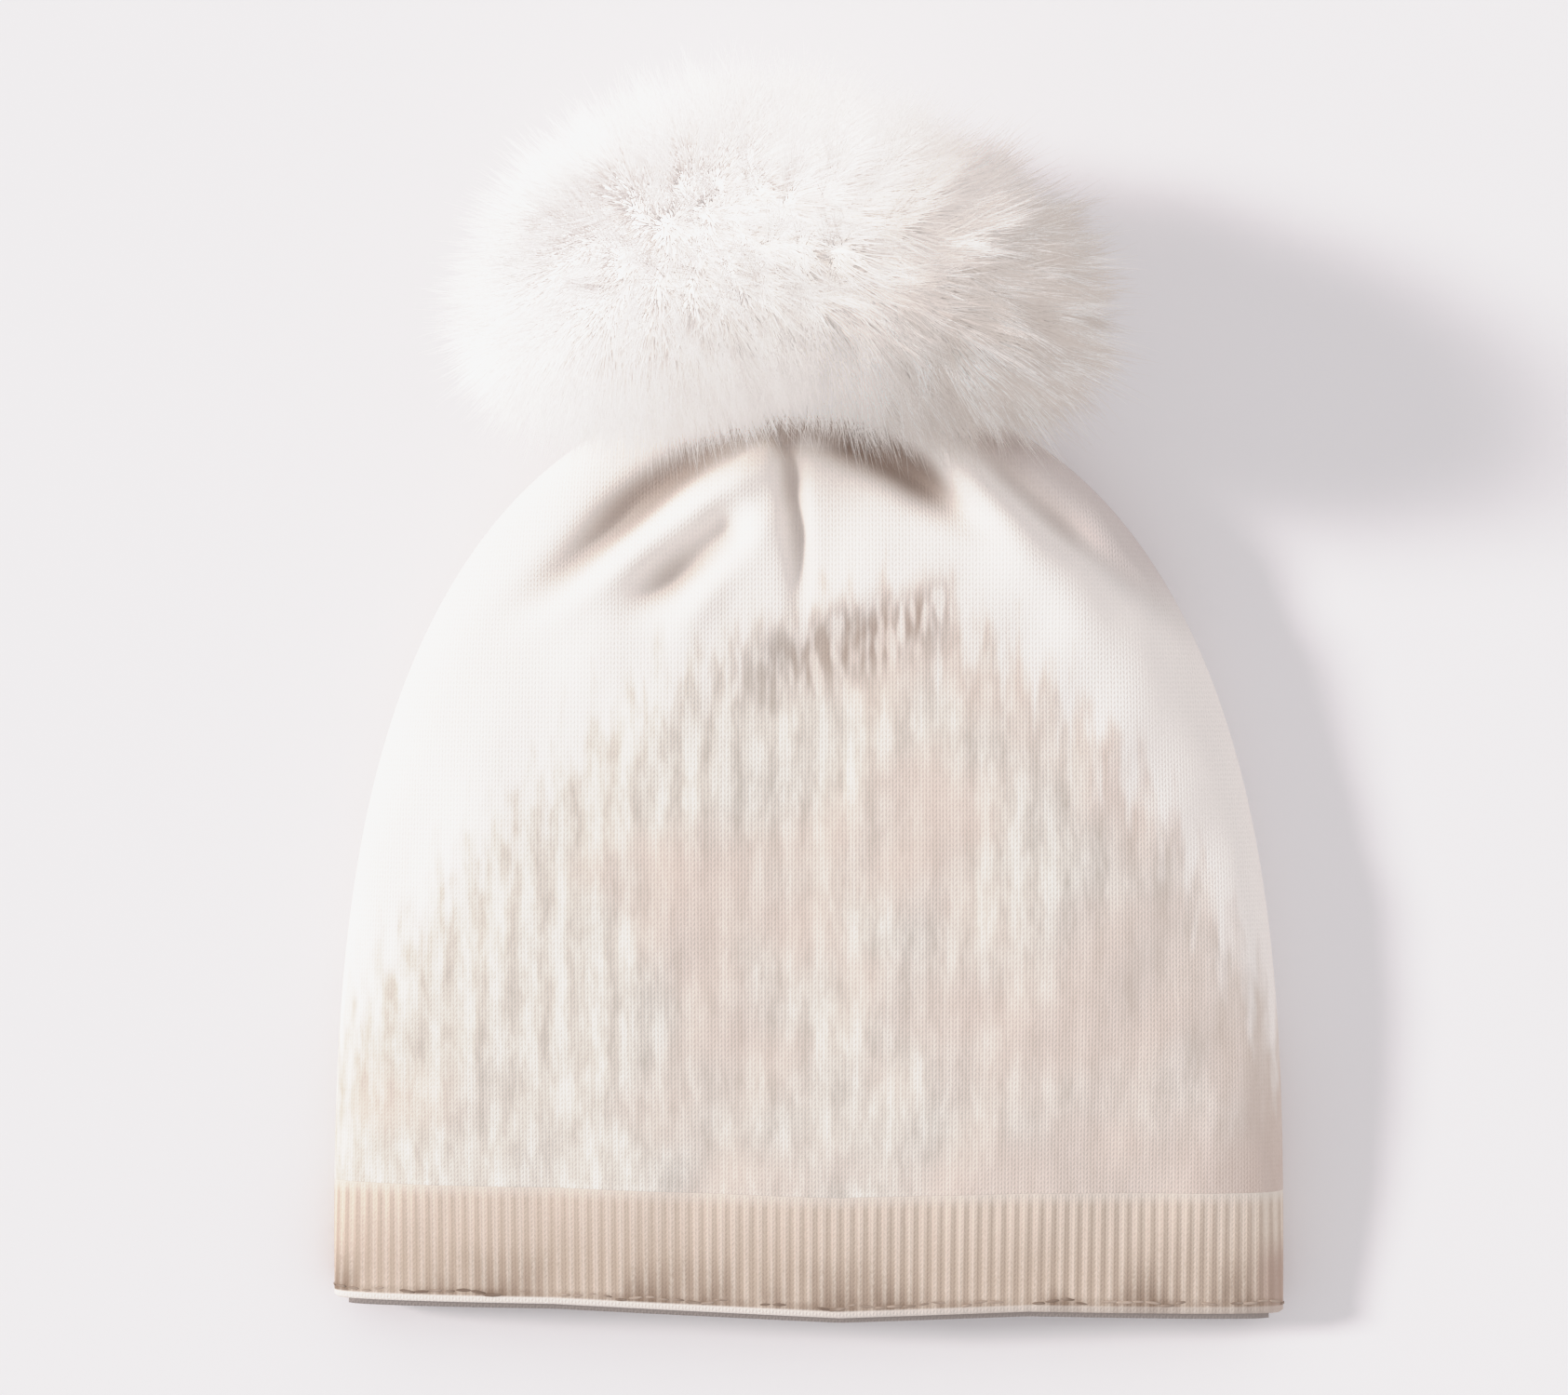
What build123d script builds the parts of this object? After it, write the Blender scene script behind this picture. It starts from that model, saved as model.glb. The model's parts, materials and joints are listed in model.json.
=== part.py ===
from build123d import *
import os
from math import sin, cos, radians

# Pom pom beanie lying flat on its back, in millimetres.
# +X runs across the hem, +Y from the hem to the pom pom, +Z up from the table.

# Overall shape of the hat. Distances along Y are counted from the hem, which lies here.
hem_y = -138.75
hat_width = 218.0
tip_y = 212.0
hem_height = 20.0
middle_height = 34.5
crown_height = 30.0
crown_end_y = 204.0
crown_lift = 7.0
lift_start_y = 158.0
swell_length = 105.0

# Cloth
knit_thickness = 2.2
layer_gap = 0.9
lining_thickness = 1.4
rib_height = 28.5
lining_start_y = -2.0
lining_end_y = 190.0
lining_tip_y = 197.0
lining_slack = 4.0
sag_start_y = 110.0
stations = (0, 28.5, 48, 66, 84, 102, 118, 132, 144, 154, 163, 171, 178, 184, 189, 193.5, 197.5, 201)

# Crown opening and the ball of gathers that turns in it
pivot_y = 202.9
pivot_z = 18.5
crown_hole_radius = 9.6
gather_radius = 8.2
gather_half_length = 4.5
thread_radius = 0.4
running_gap = 0.3

# Press stud between hat and pom pom, measured outwards from the pivot
stud_elevation = 22.0
post_radius = 1.4
hole_gap = 0.05
patch_radius = 6.0
patch_thickness = 1.0
cap_radius = 5.5
cap_thickness = 1.0
stud_flange_radius = 5.2
stud_flange_thickness = 0.8
stud_neck_radius = 2.3
stud_bulb_radius = 2.75
stud_neck_top = 7.0
stud_top = 8.6
socket_radius = 6.1
socket_bottom = 5.75
socket_top = 9.8
socket_bore_radius = 3.0
spring_groove_radius = 3.75
spring_level = 6.7
spring_ring_radius = 3.2

# Pom pom, measured outwards from the pivot
pelt_radius = 22.0
pelt_centre = 30.0
pelt_thickness = 1.4
base_disc_radius = 7.2
base_disc_thickness = 1.4
pom_cap_thickness = 1.0
pom_thread_ring_radius = 7.9
filling_gap = 0.2
fur_widest = 32.0
fur_radius = 67.0
fur_dome = 44.0
fur_under = 24.0
fur_hollow_start = 9.0
fur_hollow_angle = 12.0
fur_inner_radius = 6.6

# Seams and labels
seam_width = 4.0
seam_thickness = 0.7
lining_seam_middle = 70.0
lining_seam_length = 60.0
dart_thickness = 1.6
dart_depth = 2.6
dart_start_y = 166.0
dart_end_y = 191.0
label_width = 42.0
label_height = 22.0
label_thickness = 0.4
label_start_y = 7.0
care_width = 24.0
care_length = 40.0
care_thickness = 0.5
care_x = -52.0
care_y = 62.0
small_gap = 0.05

os.makedirs("parts", exist_ok=True)

stud_out = Vector(0, cos(radians(stud_elevation)), sin(radians(stud_elevation)))
pivot = Vector(0, hem_y + pivot_y, pivot_z)
stud_axis = Axis(pivot, stud_out)
profile_plane = Plane(origin=pivot, x_dir=(1, 0, 0), z_dir=(0, -stud_out.Z, stud_out.Y))


# Height of the hat's top side at a distance from the hem.
def top_height(y):
    swell = sin(radians(90) * min(1, max(0, y) / swell_length))
    sink = (middle_height - crown_height) * (max(0, y) / crown_end_y) ** 6
    return hem_height + (middle_height - hem_height) * swell - sink


# Height of the hat's underside: it leaves the table near the crown.
def under_height(y):
    return crown_lift * (max(0, y - lift_start_y) / (crown_end_y - lift_start_y)) ** 2


# One flattened cross-section of a cloth pouch, drawn this far inside the hat's surface.
def pouch_section(y, inset, end_of_taper, slack):
    across = max(0, y) / (end_of_taper - inset)
    half_width = (hat_width / 2 - inset) * (1 - across ** 3) ** (1 / 2.3)
    sag = slack * (max(0, y - sag_start_y) / (lining_end_y - sag_start_y)) ** 2
    fold_radius = hem_height * 0.45 + 2.5 * max(0, y) / crown_end_y - inset
    low = under_height(y) + inset + sag
    middle = low + fold_radius
    rise = top_height(y) - inset - sag - middle
    with BuildSketch(Plane.XZ.offset(-hem_y - y)) as outline:
        with BuildLine():
            Line((fold_radius - half_width, low), (half_width - fold_radius, low))
            CenterArc((half_width - fold_radius, middle), fold_radius, -90, 90)
            EllipticalCenterArc((0, middle), half_width, rise, 0, arc_size=180)
            CenterArc((fold_radius - half_width, middle), fold_radius, 180, 90)
        make_face()
    return outline.sketch


# A closed pouch between two distances from the hem.
def pouch(inset, start, end, end_of_taper=tip_y, slack=0.0):
    between = [y for y in stations if start + 0.9 < y < end - 0.9]
    sections = [pouch_section(y, inset, end_of_taper, slack) for y in [start] + between + [end]]
    with BuildPart() as solid:
        loft(sections=sections, ruled=True)
    return solid.part


# A ring-shaped or solid piece turned about the press stud's axis.
def turned(points):
    with BuildPart() as solid:
        with BuildSketch(profile_plane):
            with BuildLine():
                Polyline(*points, close=True)
            make_face()
        revolve(axis=stud_axis)
    return solid.part


# A ring of thread about the press stud's axis.
def thread_ring(level, ring_radius, radius):
    with BuildPart() as solid:
        with BuildSketch(profile_plane):
            with Locations((ring_radius, level)):
                Circle(radius)
        revolve(axis=stud_axis)
    return solid.part


# A ball centred on the press stud's axis.
def ball(level, radius):
    return Sphere(radius, mode=Mode.PRIVATE).moved(Location(pivot + stud_out * level))


lining_inset = knit_thickness + layer_gap
cavity_inset = lining_inset + lining_thickness

# Outer knit: sides and crown, with the hole that the gathers sit in
knit_outside = pouch(0, rib_height, crown_end_y)
knit_inside = pouch(knit_thickness, rib_height - 1, crown_end_y - knit_thickness)
with BuildPart() as knit_body:
    add(knit_outside)
    add(knit_inside, mode=Mode.SUBTRACT)
    with BuildSketch(Plane.XZ.offset(-hem_y - pivot_y)):
        with Locations((0, pivot_z)):
            Circle(crown_hole_radius)
    extrude(amount=5, both=True, mode=Mode.SUBTRACT)
knit_body.part.label = "knit_body"

# Ribbed hem band
band_outside = pouch(0, 0, rib_height)
band_inside = pouch(knit_thickness, -1, rib_height + 1)
with BuildPart() as rib_band:
    add(band_outside)
    add(band_inside, mode=Mode.SUBTRACT)
rib_band.part.label = "rib_band"

# Lining: a shorter pouch inside the outer knit
lining_outside = pouch(lining_inset, lining_start_y, lining_end_y, lining_tip_y, lining_slack)
lining_inside = pouch(cavity_inset, lining_start_y - 1, lining_end_y - lining_thickness, lining_tip_y, lining_slack)
with BuildPart() as lining:
    add(lining_outside)
    add(lining_inside, mode=Mode.SUBTRACT)
lining.part.label = "lining"

# Row of link stitches that joins the lining to the hem band
link_outside = pouch(knit_thickness - 0.4, -1.1, -small_gap)
link_inside = pouch(lining_inset - small_gap, -2, 1)
with BuildPart() as hem_link_thread:
    add(link_outside)
    add(link_inside, mode=Mode.SUBTRACT)
hem_link_thread.part.label = "hem_link_thread"

# Linked seam down the middle of the back, between the outer knit and the lining
with BuildPart() as back_seam:
    with BuildSketch(Plane.XY.offset(knit_thickness + small_gap)):
        with Locations((0, hem_y + (rib_height + lift_start_y) / 2)):
            SlotOverall(lift_start_y - rib_height - 4, seam_width, rotation=90)
    extrude(amount=seam_thickness)
back_seam.part.label = "back_seam"

# Linked seam of the lining, on its inner side
with BuildPart() as lining_seam:
    with BuildSketch(Plane.XY.offset(cavity_inset + small_gap)):
        with Locations((0, hem_y + lining_seam_middle)):
            SlotOverall(lining_seam_length, seam_width, rotation=90)
    extrude(amount=seam_thickness)
lining_seam.part.label = "lining_seam"

# Four crown darts: fins of cloth on the inner side of the crown
dart_outside = pouch(knit_thickness + small_gap, dart_start_y, dart_end_y)
dart_inside = pouch(knit_thickness + dart_depth, dart_start_y - 1, dart_end_y + 1)
dart_length = dart_end_y - dart_start_y
dart_middle = hem_y + (dart_start_y + dart_end_y) / 2


# One dart, cut from the skin of cloth by a slab that is centred here.
def dart(x, z, wide, high):
    with BuildPart() as fin:
        with Locations((x, dart_middle, z)):
            Box(wide, dart_length, high)
        add(dart_outside, mode=Mode.INTERSECT)
        add(dart_inside, mode=Mode.SUBTRACT)
    return fin


front_dart = dart(0, pivot_z + 12, dart_thickness, 24)
front_dart.part.label = "front_dart"
back_dart = dart(0, pivot_z - 12, dart_thickness, 24)
back_dart.part.label = "back_dart"
left_dart = dart(-60, pivot_z - 3, 100, dart_thickness)
left_dart.part.label = "left_dart"
right_dart = dart(60, pivot_z - 3, 100, dart_thickness)
right_dart.part.label = "right_dart"

# Thread that draws the crown in, around the ball of gathers
thread_ring_radius = gather_radius + running_gap + thread_radius
with BuildPart() as crown_draw_thread:
    add(thread_ring(0, thread_ring_radius, thread_radius))
crown_draw_thread.part.label = "crown_draw_thread"

# Ball of gathers, cut flat above and below, with the post's hole
with BuildPart() as crown_gather:
    add(ball(0, gather_radius))
    slab = turned([(0, -gather_half_length), (20, -gather_half_length), (20, gather_half_length), (0, gather_half_length)])
    add(slab, mode=Mode.INTERSECT)
    hole_radius = post_radius + hole_gap
    add(turned([(0, -20), (hole_radius, -20), (hole_radius, 20), (0, 20)]), mode=Mode.SUBTRACT)
crown_gather.part.label = "crown_gather"

# Felt patch behind the gathers
patch_bottom = -gather_half_length - patch_thickness
with BuildPart() as crown_patch:
    add(turned([
        (hole_radius, patch_bottom), (patch_radius, patch_bottom),
        (patch_radius, -gather_half_length), (hole_radius, -gather_half_length),
    ]))
crown_patch.part.label = "crown_patch"

# Cap and post inside the hat
with BuildPart() as stud_cap:
    add(turned([
        (0, patch_bottom - cap_thickness), (cap_radius - 0.4, patch_bottom - cap_thickness),
        (cap_radius, patch_bottom - cap_thickness + 0.4), (cap_radius, patch_bottom),
        (post_radius, patch_bottom), (post_radius, gather_half_length + 0.6), (0, gather_half_length + 0.6),
    ]))
stud_cap.part.label = "stud_cap"

# Male half of the press stud
flange_top = gather_half_length + stud_flange_thickness
with BuildPart() as snap_stud:
    add(turned([
        (hole_radius, gather_half_length), (stud_flange_radius, gather_half_length),
        (stud_flange_radius, flange_top), (stud_neck_radius, flange_top),
        (stud_neck_radius, stud_neck_top), (stud_bulb_radius, stud_neck_top + 0.4),
        (stud_bulb_radius, stud_top - 0.7), (stud_bulb_radius - 0.7, stud_top),
        (0, stud_top), (0, gather_half_length + 0.7), (hole_radius, gather_half_length + 0.7),
    ]))
snap_stud.part.label = "snap_stud"

# Ring spring that grips the stud, at the size it has while the bulb goes through
with BuildPart() as snap_spring:
    add(thread_ring(spring_level, spring_ring_radius, thread_radius))
snap_spring.part.label = "snap_spring"

# Female half of the press stud
groove_low = spring_level - 0.5
groove_high = spring_level + 0.5
with BuildPart() as snap_socket:
    add(turned([
        (socket_bore_radius, socket_bottom), (socket_radius - 0.5, socket_bottom),
        (socket_radius, socket_bottom + 0.5), (socket_radius, socket_top),
        (hole_radius, socket_top), (hole_radius, stud_top + 0.4), (socket_bore_radius, stud_top + 0.4),
        (socket_bore_radius, groove_high), (spring_groove_radius, groove_high),
        (spring_groove_radius, groove_low), (socket_bore_radius, groove_low),
    ]))
snap_socket.part.label = "snap_socket"

# Stiff disc inside the base of the pelt
disc_bottom = socket_top + pelt_thickness
disc_top = disc_bottom + base_disc_thickness
with BuildPart() as pom_base_disc:
    add(turned([
        (hole_radius, disc_bottom), (base_disc_radius, disc_bottom),
        (base_disc_radius, disc_top), (hole_radius, disc_top),
    ]))
pom_base_disc.part.label = "pom_base_disc"

# Cap and post inside the pom pom
cap_top = disc_top + pom_cap_thickness
with BuildPart() as socket_cap:
    add(turned([
        (0, stud_top + 0.5), (post_radius, stud_top + 0.5), (post_radius, disc_top),
        (cap_radius, disc_top), (cap_radius, cap_top - 0.4), (cap_radius - 0.4, cap_top), (0, cap_top),
    ]))
socket_cap.part.label = "socket_cap"

# Pelt: the hide drawn into a ball, flat where it closes over the disc
with BuildPart() as pom_pelt:
    add(ball(pelt_centre, pelt_radius))
    add(turned([(0, socket_top), (40, socket_top), (40, 80), (0, 80)]), mode=Mode.INTERSECT)
    hollow = ball(pelt_centre, pelt_radius - pelt_thickness)
    hollow = hollow & turned([(0, disc_bottom), (40, disc_bottom), (40, 80), (0, 80)])
    add(hollow, mode=Mode.SUBTRACT)
    add(turned([(0, 0), (hole_radius, 0), (hole_radius, 15), (0, 15)]), mode=Mode.SUBTRACT)
pom_pelt.part.label = "pom_pelt"

# Thread that draws the pelt closed round the disc
with BuildPart() as pom_draw_thread:
    add(thread_ring(disc_bottom + thread_radius + small_gap, pom_thread_ring_radius, thread_radius))
pom_draw_thread.part.label = "pom_draw_thread"

# Fibre filling, hollowed over the disc and cap
filling_radius = pelt_radius - pelt_thickness - filling_gap
filling_hollow_radius = pom_thread_ring_radius + thread_radius + 0.3
with BuildPart() as pom_filling:
    add(ball(pelt_centre, filling_radius))
    add(turned([
        (0, 0), (40, 0), (40, disc_bottom + 0.1), (filling_hollow_radius, disc_bottom + 0.1),
        (filling_hollow_radius, cap_top + 0.2), (0, cap_top + 0.2),
    ]), mode=Mode.SUBTRACT)
pom_filling.part.label = "pom_filling"

# Fur: the pile around the pelt, hollow over the crown and pressed flat on the table
hollow_slope = sin(radians(fur_hollow_angle)) / cos(radians(fur_hollow_angle))
with BuildPart() as pom_fur:
    with BuildSketch(profile_plane):
        with BuildLine():
            EllipticalCenterArc((0, fur_widest), fur_radius, fur_under, 270, arc_size=90)
            EllipticalCenterArc((0, fur_widest), fur_radius, fur_dome, 0, arc_size=90)
            Line((0, fur_widest + fur_dome), (0, fur_widest - fur_under))
        make_face()
    revolve(axis=stud_axis)
    add(turned([
        (0, -10), (90, -10), (90, fur_hollow_start + 90 * hollow_slope), (0, fur_hollow_start),
    ]), mode=Mode.SUBTRACT)
    add(turned([
        (0, 0), (fur_inner_radius, 0), (fur_inner_radius, 20), (0, 20),
    ]), mode=Mode.SUBTRACT)
    fur_root = ball(pelt_centre, pelt_radius + small_gap)
    add(fur_root & turned([
        (0, socket_top - small_gap), (60, socket_top - small_gap), (60, 90), (0, 90),
    ]), mode=Mode.SUBTRACT)
    split(bisect_by=Plane.XY, keep=Keep.TOP)
pom_fur.part.label = "pom_fur"

# Blank woven label, flat on the lining inside the back of the hem
label_bottom = cavity_inset + small_gap
label_middle_y = hem_y + label_start_y + label_height / 2
with BuildPart() as woven_label:
    with BuildSketch(Plane.XY.offset(label_bottom)):
        with Locations((0, label_middle_y)):
            Rectangle(label_width, label_height)
    extrude(amount=label_thickness)
woven_label.part.label = "woven_label"

# Thread that sews the label on, just inside its edge
with BuildPart() as label_stitches:
    with BuildSketch(Plane.XY.offset(label_bottom + label_thickness)):
        with Locations((0, label_middle_y)):
            RectangleRounded(label_width - 2, label_height - 2, 1.5)
            RectangleRounded(label_width - 3, label_height - 3, 1.0, mode=Mode.SUBTRACT)
    extrude(amount=0.3)
label_stitches.part.label = "label_stitches"

# Blank care label, free except at the edge nearest the side seam
with BuildPart() as care_label:
    with BuildSketch(Plane.XY.offset(label_bottom + 0.3)):
        with Locations((care_x, hem_y + care_y)):
            Rectangle(care_length, care_width)
    extrude(amount=care_thickness)
care_label.part.label = "care_label"

export_step(knit_body.part, "parts/knit_body.step")
export_step(rib_band.part, "parts/rib_band.step")
export_step(lining.part, "parts/lining.step")
export_step(hem_link_thread.part, "parts/hem_link_thread.step")
export_step(back_seam.part, "parts/back_seam.step")
export_step(lining_seam.part, "parts/lining_seam.step")
export_step(front_dart.part, "parts/front_dart.step")
export_step(back_dart.part, "parts/back_dart.step")
export_step(left_dart.part, "parts/left_dart.step")
export_step(right_dart.part, "parts/right_dart.step")
export_step(crown_draw_thread.part, "parts/crown_draw_thread.step")
export_step(crown_gather.part, "parts/crown_gather.step")
export_step(crown_patch.part, "parts/crown_patch.step")
export_step(stud_cap.part, "parts/stud_cap.step")
export_step(snap_stud.part, "parts/snap_stud.step")
export_step(snap_spring.part, "parts/snap_spring.step")
export_step(snap_socket.part, "parts/snap_socket.step")
export_step(socket_cap.part, "parts/socket_cap.step")
export_step(pom_base_disc.part, "parts/pom_base_disc.step")
export_step(pom_pelt.part, "parts/pom_pelt.step")
export_step(pom_draw_thread.part, "parts/pom_draw_thread.step")
export_step(pom_filling.part, "parts/pom_filling.step")
export_step(pom_fur.part, "parts/pom_fur.step")
export_step(woven_label.part, "parts/woven_label.step")
export_step(label_stitches.part, "parts/label_stitches.step")
export_step(care_label.part, "parts/care_label.step")
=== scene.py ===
import bmesh
import bpy
import json
import math
import numpy as np
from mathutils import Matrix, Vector


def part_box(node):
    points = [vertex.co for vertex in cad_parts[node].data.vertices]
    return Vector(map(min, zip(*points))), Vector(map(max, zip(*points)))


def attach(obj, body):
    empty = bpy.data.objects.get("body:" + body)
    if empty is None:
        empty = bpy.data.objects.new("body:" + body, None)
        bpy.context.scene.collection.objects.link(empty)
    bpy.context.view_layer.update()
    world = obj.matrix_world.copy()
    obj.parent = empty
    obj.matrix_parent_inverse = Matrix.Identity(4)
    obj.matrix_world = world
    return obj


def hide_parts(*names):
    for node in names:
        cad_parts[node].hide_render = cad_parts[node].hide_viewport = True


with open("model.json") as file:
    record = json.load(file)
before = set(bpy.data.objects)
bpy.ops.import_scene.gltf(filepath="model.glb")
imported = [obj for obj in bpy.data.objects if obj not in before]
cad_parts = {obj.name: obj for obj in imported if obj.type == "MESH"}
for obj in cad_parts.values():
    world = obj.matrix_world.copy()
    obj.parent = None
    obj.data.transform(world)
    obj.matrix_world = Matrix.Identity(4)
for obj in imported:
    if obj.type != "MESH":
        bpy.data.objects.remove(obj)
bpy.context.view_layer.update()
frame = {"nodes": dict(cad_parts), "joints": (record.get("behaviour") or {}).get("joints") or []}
joints = {joint["name"]: joint for joint in frame["joints"]}
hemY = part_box("rib_band")[0].y
pivot = Vector(joints["pom_nod"]["pos_m"])
studAxis = Vector(joints["pom_pull_off"]["axis"]).normalized()
acrossAxis = Vector((1, 0, 0))
upAxis = acrossAxis.cross(studAxis)
pivotPoint, acrossWay, upWay, studWay = (np.array(vector) for vector in (pivot, acrossAxis, upAxis, studAxis))


# Node wiring: a Wire is one socket, and sums written with it become Math nodes
class Wire:
    def __init__(self, board, socket):
        self.board = board
        self.socket = socket

    def math(self, operation, *others):
        return self.board.add("ShaderNodeMath", {"operation": operation}, [self, *others])

    def vector(self, operation, *others, output=0):
        return self.board.add("ShaderNodeVectorMath", {"operation": operation}, [self, *others], output)

    def scaled(self, amount):
        return self.board.add("ShaderNodeVectorMath", {"operation": "SCALE"}, {0: self, "Scale": amount})

    def out(self, name):
        return Wire(self.board, self.socket.node.outputs[name])

    def ramp(self, low, high, toLow=0.0, toHigh=1.0, kind="SMOOTHSTEP"):
        return self.board.add("ShaderNodeMapRange", {"interpolation_type": kind}, [self, low, high, toLow, toHigh])

    def __add__(self, other):
        return self.math("ADD", other)

    __radd__ = __add__

    def __sub__(self, other):
        return self.math("SUBTRACT", other)

    def __rsub__(self, other):
        return self.board.add("ShaderNodeMath", {"operation": "SUBTRACT"}, [other, self])

    def __mul__(self, other):
        return self.math("MULTIPLY", other)

    def __truediv__(self, other):
        return self.math("DIVIDE", other)

    def __pow__(self, other):
        return self.math("POWER", other)


class Board:
    def __init__(self, tree):
        self.tree = tree

    def add(self, kind, settings=None, inputs=(), output=0):
        node = self.tree.nodes.new(kind)
        for name, value in (settings or {}).items():
            setattr(node, name, value)
        pairs = inputs.items() if isinstance(inputs, dict) else enumerate(inputs)
        for key, value in pairs:
            if isinstance(value, Wire):
                self.tree.links.new(value.socket, node.inputs[key])
            else:
                node.inputs[key].default_value = value
        return Wire(self, node.outputs[output])

    def mix(self, factor, first, second):
        return self.add("ShaderNodeMix", {"data_type": "RGBA"}, {0: factor, 6: first, 7: second}, output=2)

    def point(self, x, y, z):
        return self.add("ShaderNodeCombineXYZ", None, [x, y, z])

    def apart(self, wire):
        return self.add("ShaderNodeSeparateXYZ", None, [wire])

    def place(self):
        return self.add("ShaderNodeTexCoord", output=3)

    def kept(self, name, output):
        return self.add("ShaderNodeAttribute", {"attribute_name": name}, (), output)

    def noise(self, place, scale, detail=2.0, output=0):
        return self.add("ShaderNodeTexNoise", None, {"Vector": place, "Scale": scale, "Detail": detail}, output)

    def chance(self, low, high, seed):
        return self.add("FunctionNodeRandomValue", None, {2: low, 3: high, "Seed": seed}, output=1)


# A new material, with its board and its shader node
def newMaterial(name, **values):
    material = bpy.data.materials.new(name)
    material.use_nodes = True
    board = Board(material.node_tree)
    shader = material.node_tree.nodes["Principled BSDF"]
    for key, value in values.items():
        shader.inputs[key.replace("_", " ")].default_value = value
    return material, board, shader


def plug(board, wire, shader, name):
    board.tree.links.new(wire.socket, shader.inputs[name])


# Fine relief in the surface: its strength, its depth in metres and its height field
def roughen(board, shader, strength, depth, height):
    bump = board.add("ShaderNodeBump", None, {"Strength": strength, "Distance": depth, "Height": height})
    plug(board, bump, shader, "Normal")


def srgb(red, green, blue):
    def linear(value):
        value = value / 255
        return value / 12.92 if value <= 0.04045 else ((value + 0.055) / 1.055) ** 2.4
    return (linear(red), linear(green), linear(blue), 1.0)


# A geometry tree with named inputs, its board and the wires of those inputs
def growthTree(name, sizes):
    tree = bpy.data.node_groups.new(name, "GeometryNodeTree")
    tree.interface.new_socket("Geometry", in_out="OUTPUT", socket_type="NodeSocketGeometry")
    tree.interface.new_socket("Geometry", in_out="INPUT", socket_type="NodeSocketGeometry")
    kinds = {float: "NodeSocketFloat", int: "NodeSocketInt"}
    for key, value in sizes.items():
        kind = kinds.get(type(value), "NodeSocketMaterial")
        tree.interface.new_socket(key, in_out="INPUT", socket_type=kind)
    board = Board(tree)
    start = board.add("NodeGroupInput")
    wires = {socket.name: Wire(board, socket) for socket in start.socket.node.outputs if socket.name}
    return tree, board, wires


def endTree(board, geometry, material):
    realized = board.add("GeometryNodeRealizeInstances", None, [geometry])
    smooth = board.add("GeometryNodeSetShadeSmooth", None, {"Geometry": realized})
    painted = board.add("GeometryNodeSetMaterial", None, {"Geometry": smooth, "Material": material})
    end = board.tree.nodes.new("NodeGroupOutput")
    board.tree.links.new(painted.socket, end.inputs[0])


# Grows a tree on an object and keeps what has grown as a new piece
def grow(name, source, tree, sizes):
    modifier = source.modifiers.new(name, "NODES")
    modifier.node_group = tree
    for key, value in sizes.items():
        modifier[tree.interface.items_tree[key].identifier] = value
    bpy.context.view_layer.update()
    evaluated = source.evaluated_get(bpy.context.evaluated_depsgraph_get())
    mesh = bpy.data.meshes.new_from_object(evaluated)
    source.modifiers.remove(modifier)
    return placeMesh(name, mesh)


def placeMesh(name, mesh):
    mesh.name = name
    piece = bpy.data.objects.new(name, mesh)
    bpy.context.scene.collection.objects.link(piece)
    return piece


def getPoints(mesh):
    spots = np.empty(len(mesh.vertices) * 3, np.float32)
    mesh.vertices.foreach_get("co", spots)
    return spots.reshape(-1, 3).astype(float)


def setPoints(mesh, points):
    mesh.vertices.foreach_set("co", points.astype(np.float32).ravel())
    mesh.update()


# Gives a piece its material and its body, and hides the CAD nodes it stands for
def finishPiece(piece, material, body, slotName, *nodes):
    if material:
        piece.data.materials.append(material)
    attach(piece, body)
    if nodes:
        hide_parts(*nodes)


# Camera and light
view = {"distance": 0.86, "lens": 85.0, "aimX": -0.0057, "aimY": hemY + 0.1406}
light = {"sun": 1.95, "bounce": 0.46, "fill": 0.62, "elevation": 28.0, "turn": 11.0, "softness": 10.0}
bounceLight = {"elevation": 48.0, "turn": 190.0, "softness": 80.0}
# Soft shoulder for the brightest whites: light in, light shown
shoulder = {"white": 1.3, "points": [(0.23, 0.30), (0.46, 0.60), (0.69, 0.87)], "end": 0.93}


def setCamera():
    data = bpy.data.cameras.new("camera")
    data.lens = view["lens"]
    data.sensor_width = 36.0
    camera = bpy.data.objects.new("camera", data)
    camera.location = (view["aimX"], view["aimY"], view["distance"])
    bpy.context.scene.collection.objects.link(camera)
    bpy.context.scene.camera = camera


def addSun(name, energy, elevation, turn, softness, colour):
    data = bpy.data.lights.new(name, "SUN")
    data.energy = energy
    data.angle = math.radians(softness)
    data.color = colour
    sun = bpy.data.objects.new(name, data)
    flat, high = math.cos(math.radians(elevation)), math.sin(math.radians(elevation))
    toLight = Vector((-flat * math.cos(math.radians(turn)), flat * math.sin(math.radians(turn)), high))
    sun.rotation_euler = toLight.to_track_quat("Z", "Y").to_euler()
    bpy.context.scene.collection.objects.link(sun)


def setLight():
    addSun("windowLight", light["sun"], light["elevation"], light["turn"], light["softness"], (1.0, 0.985, 0.97))
    addSun("wallBounce", light["bounce"], colour=(1.0, 0.975, 0.975), **bounceLight)
    world = bpy.data.worlds.new("roomLight")
    world.use_nodes = True
    background = world.node_tree.nodes["Background"]
    background.inputs["Color"].default_value = (0.985, 0.975, 1.0, 1.0)
    background.inputs["Strength"].default_value = light["fill"]
    bpy.context.scene.world = world
    settings = bpy.context.scene.view_settings
    settings.view_transform = "Standard"
    settings.use_curve_mapping = True
    settings.curve_mapping.white_level = (shoulder["white"],) * 3
    curve = settings.curve_mapping.curves[3]
    for place in shoulder["points"]:
        curve.points.new(*place)
    curve.points[-1].location = (1.0, shoulder["end"])
    settings.curve_mapping.update()


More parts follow.
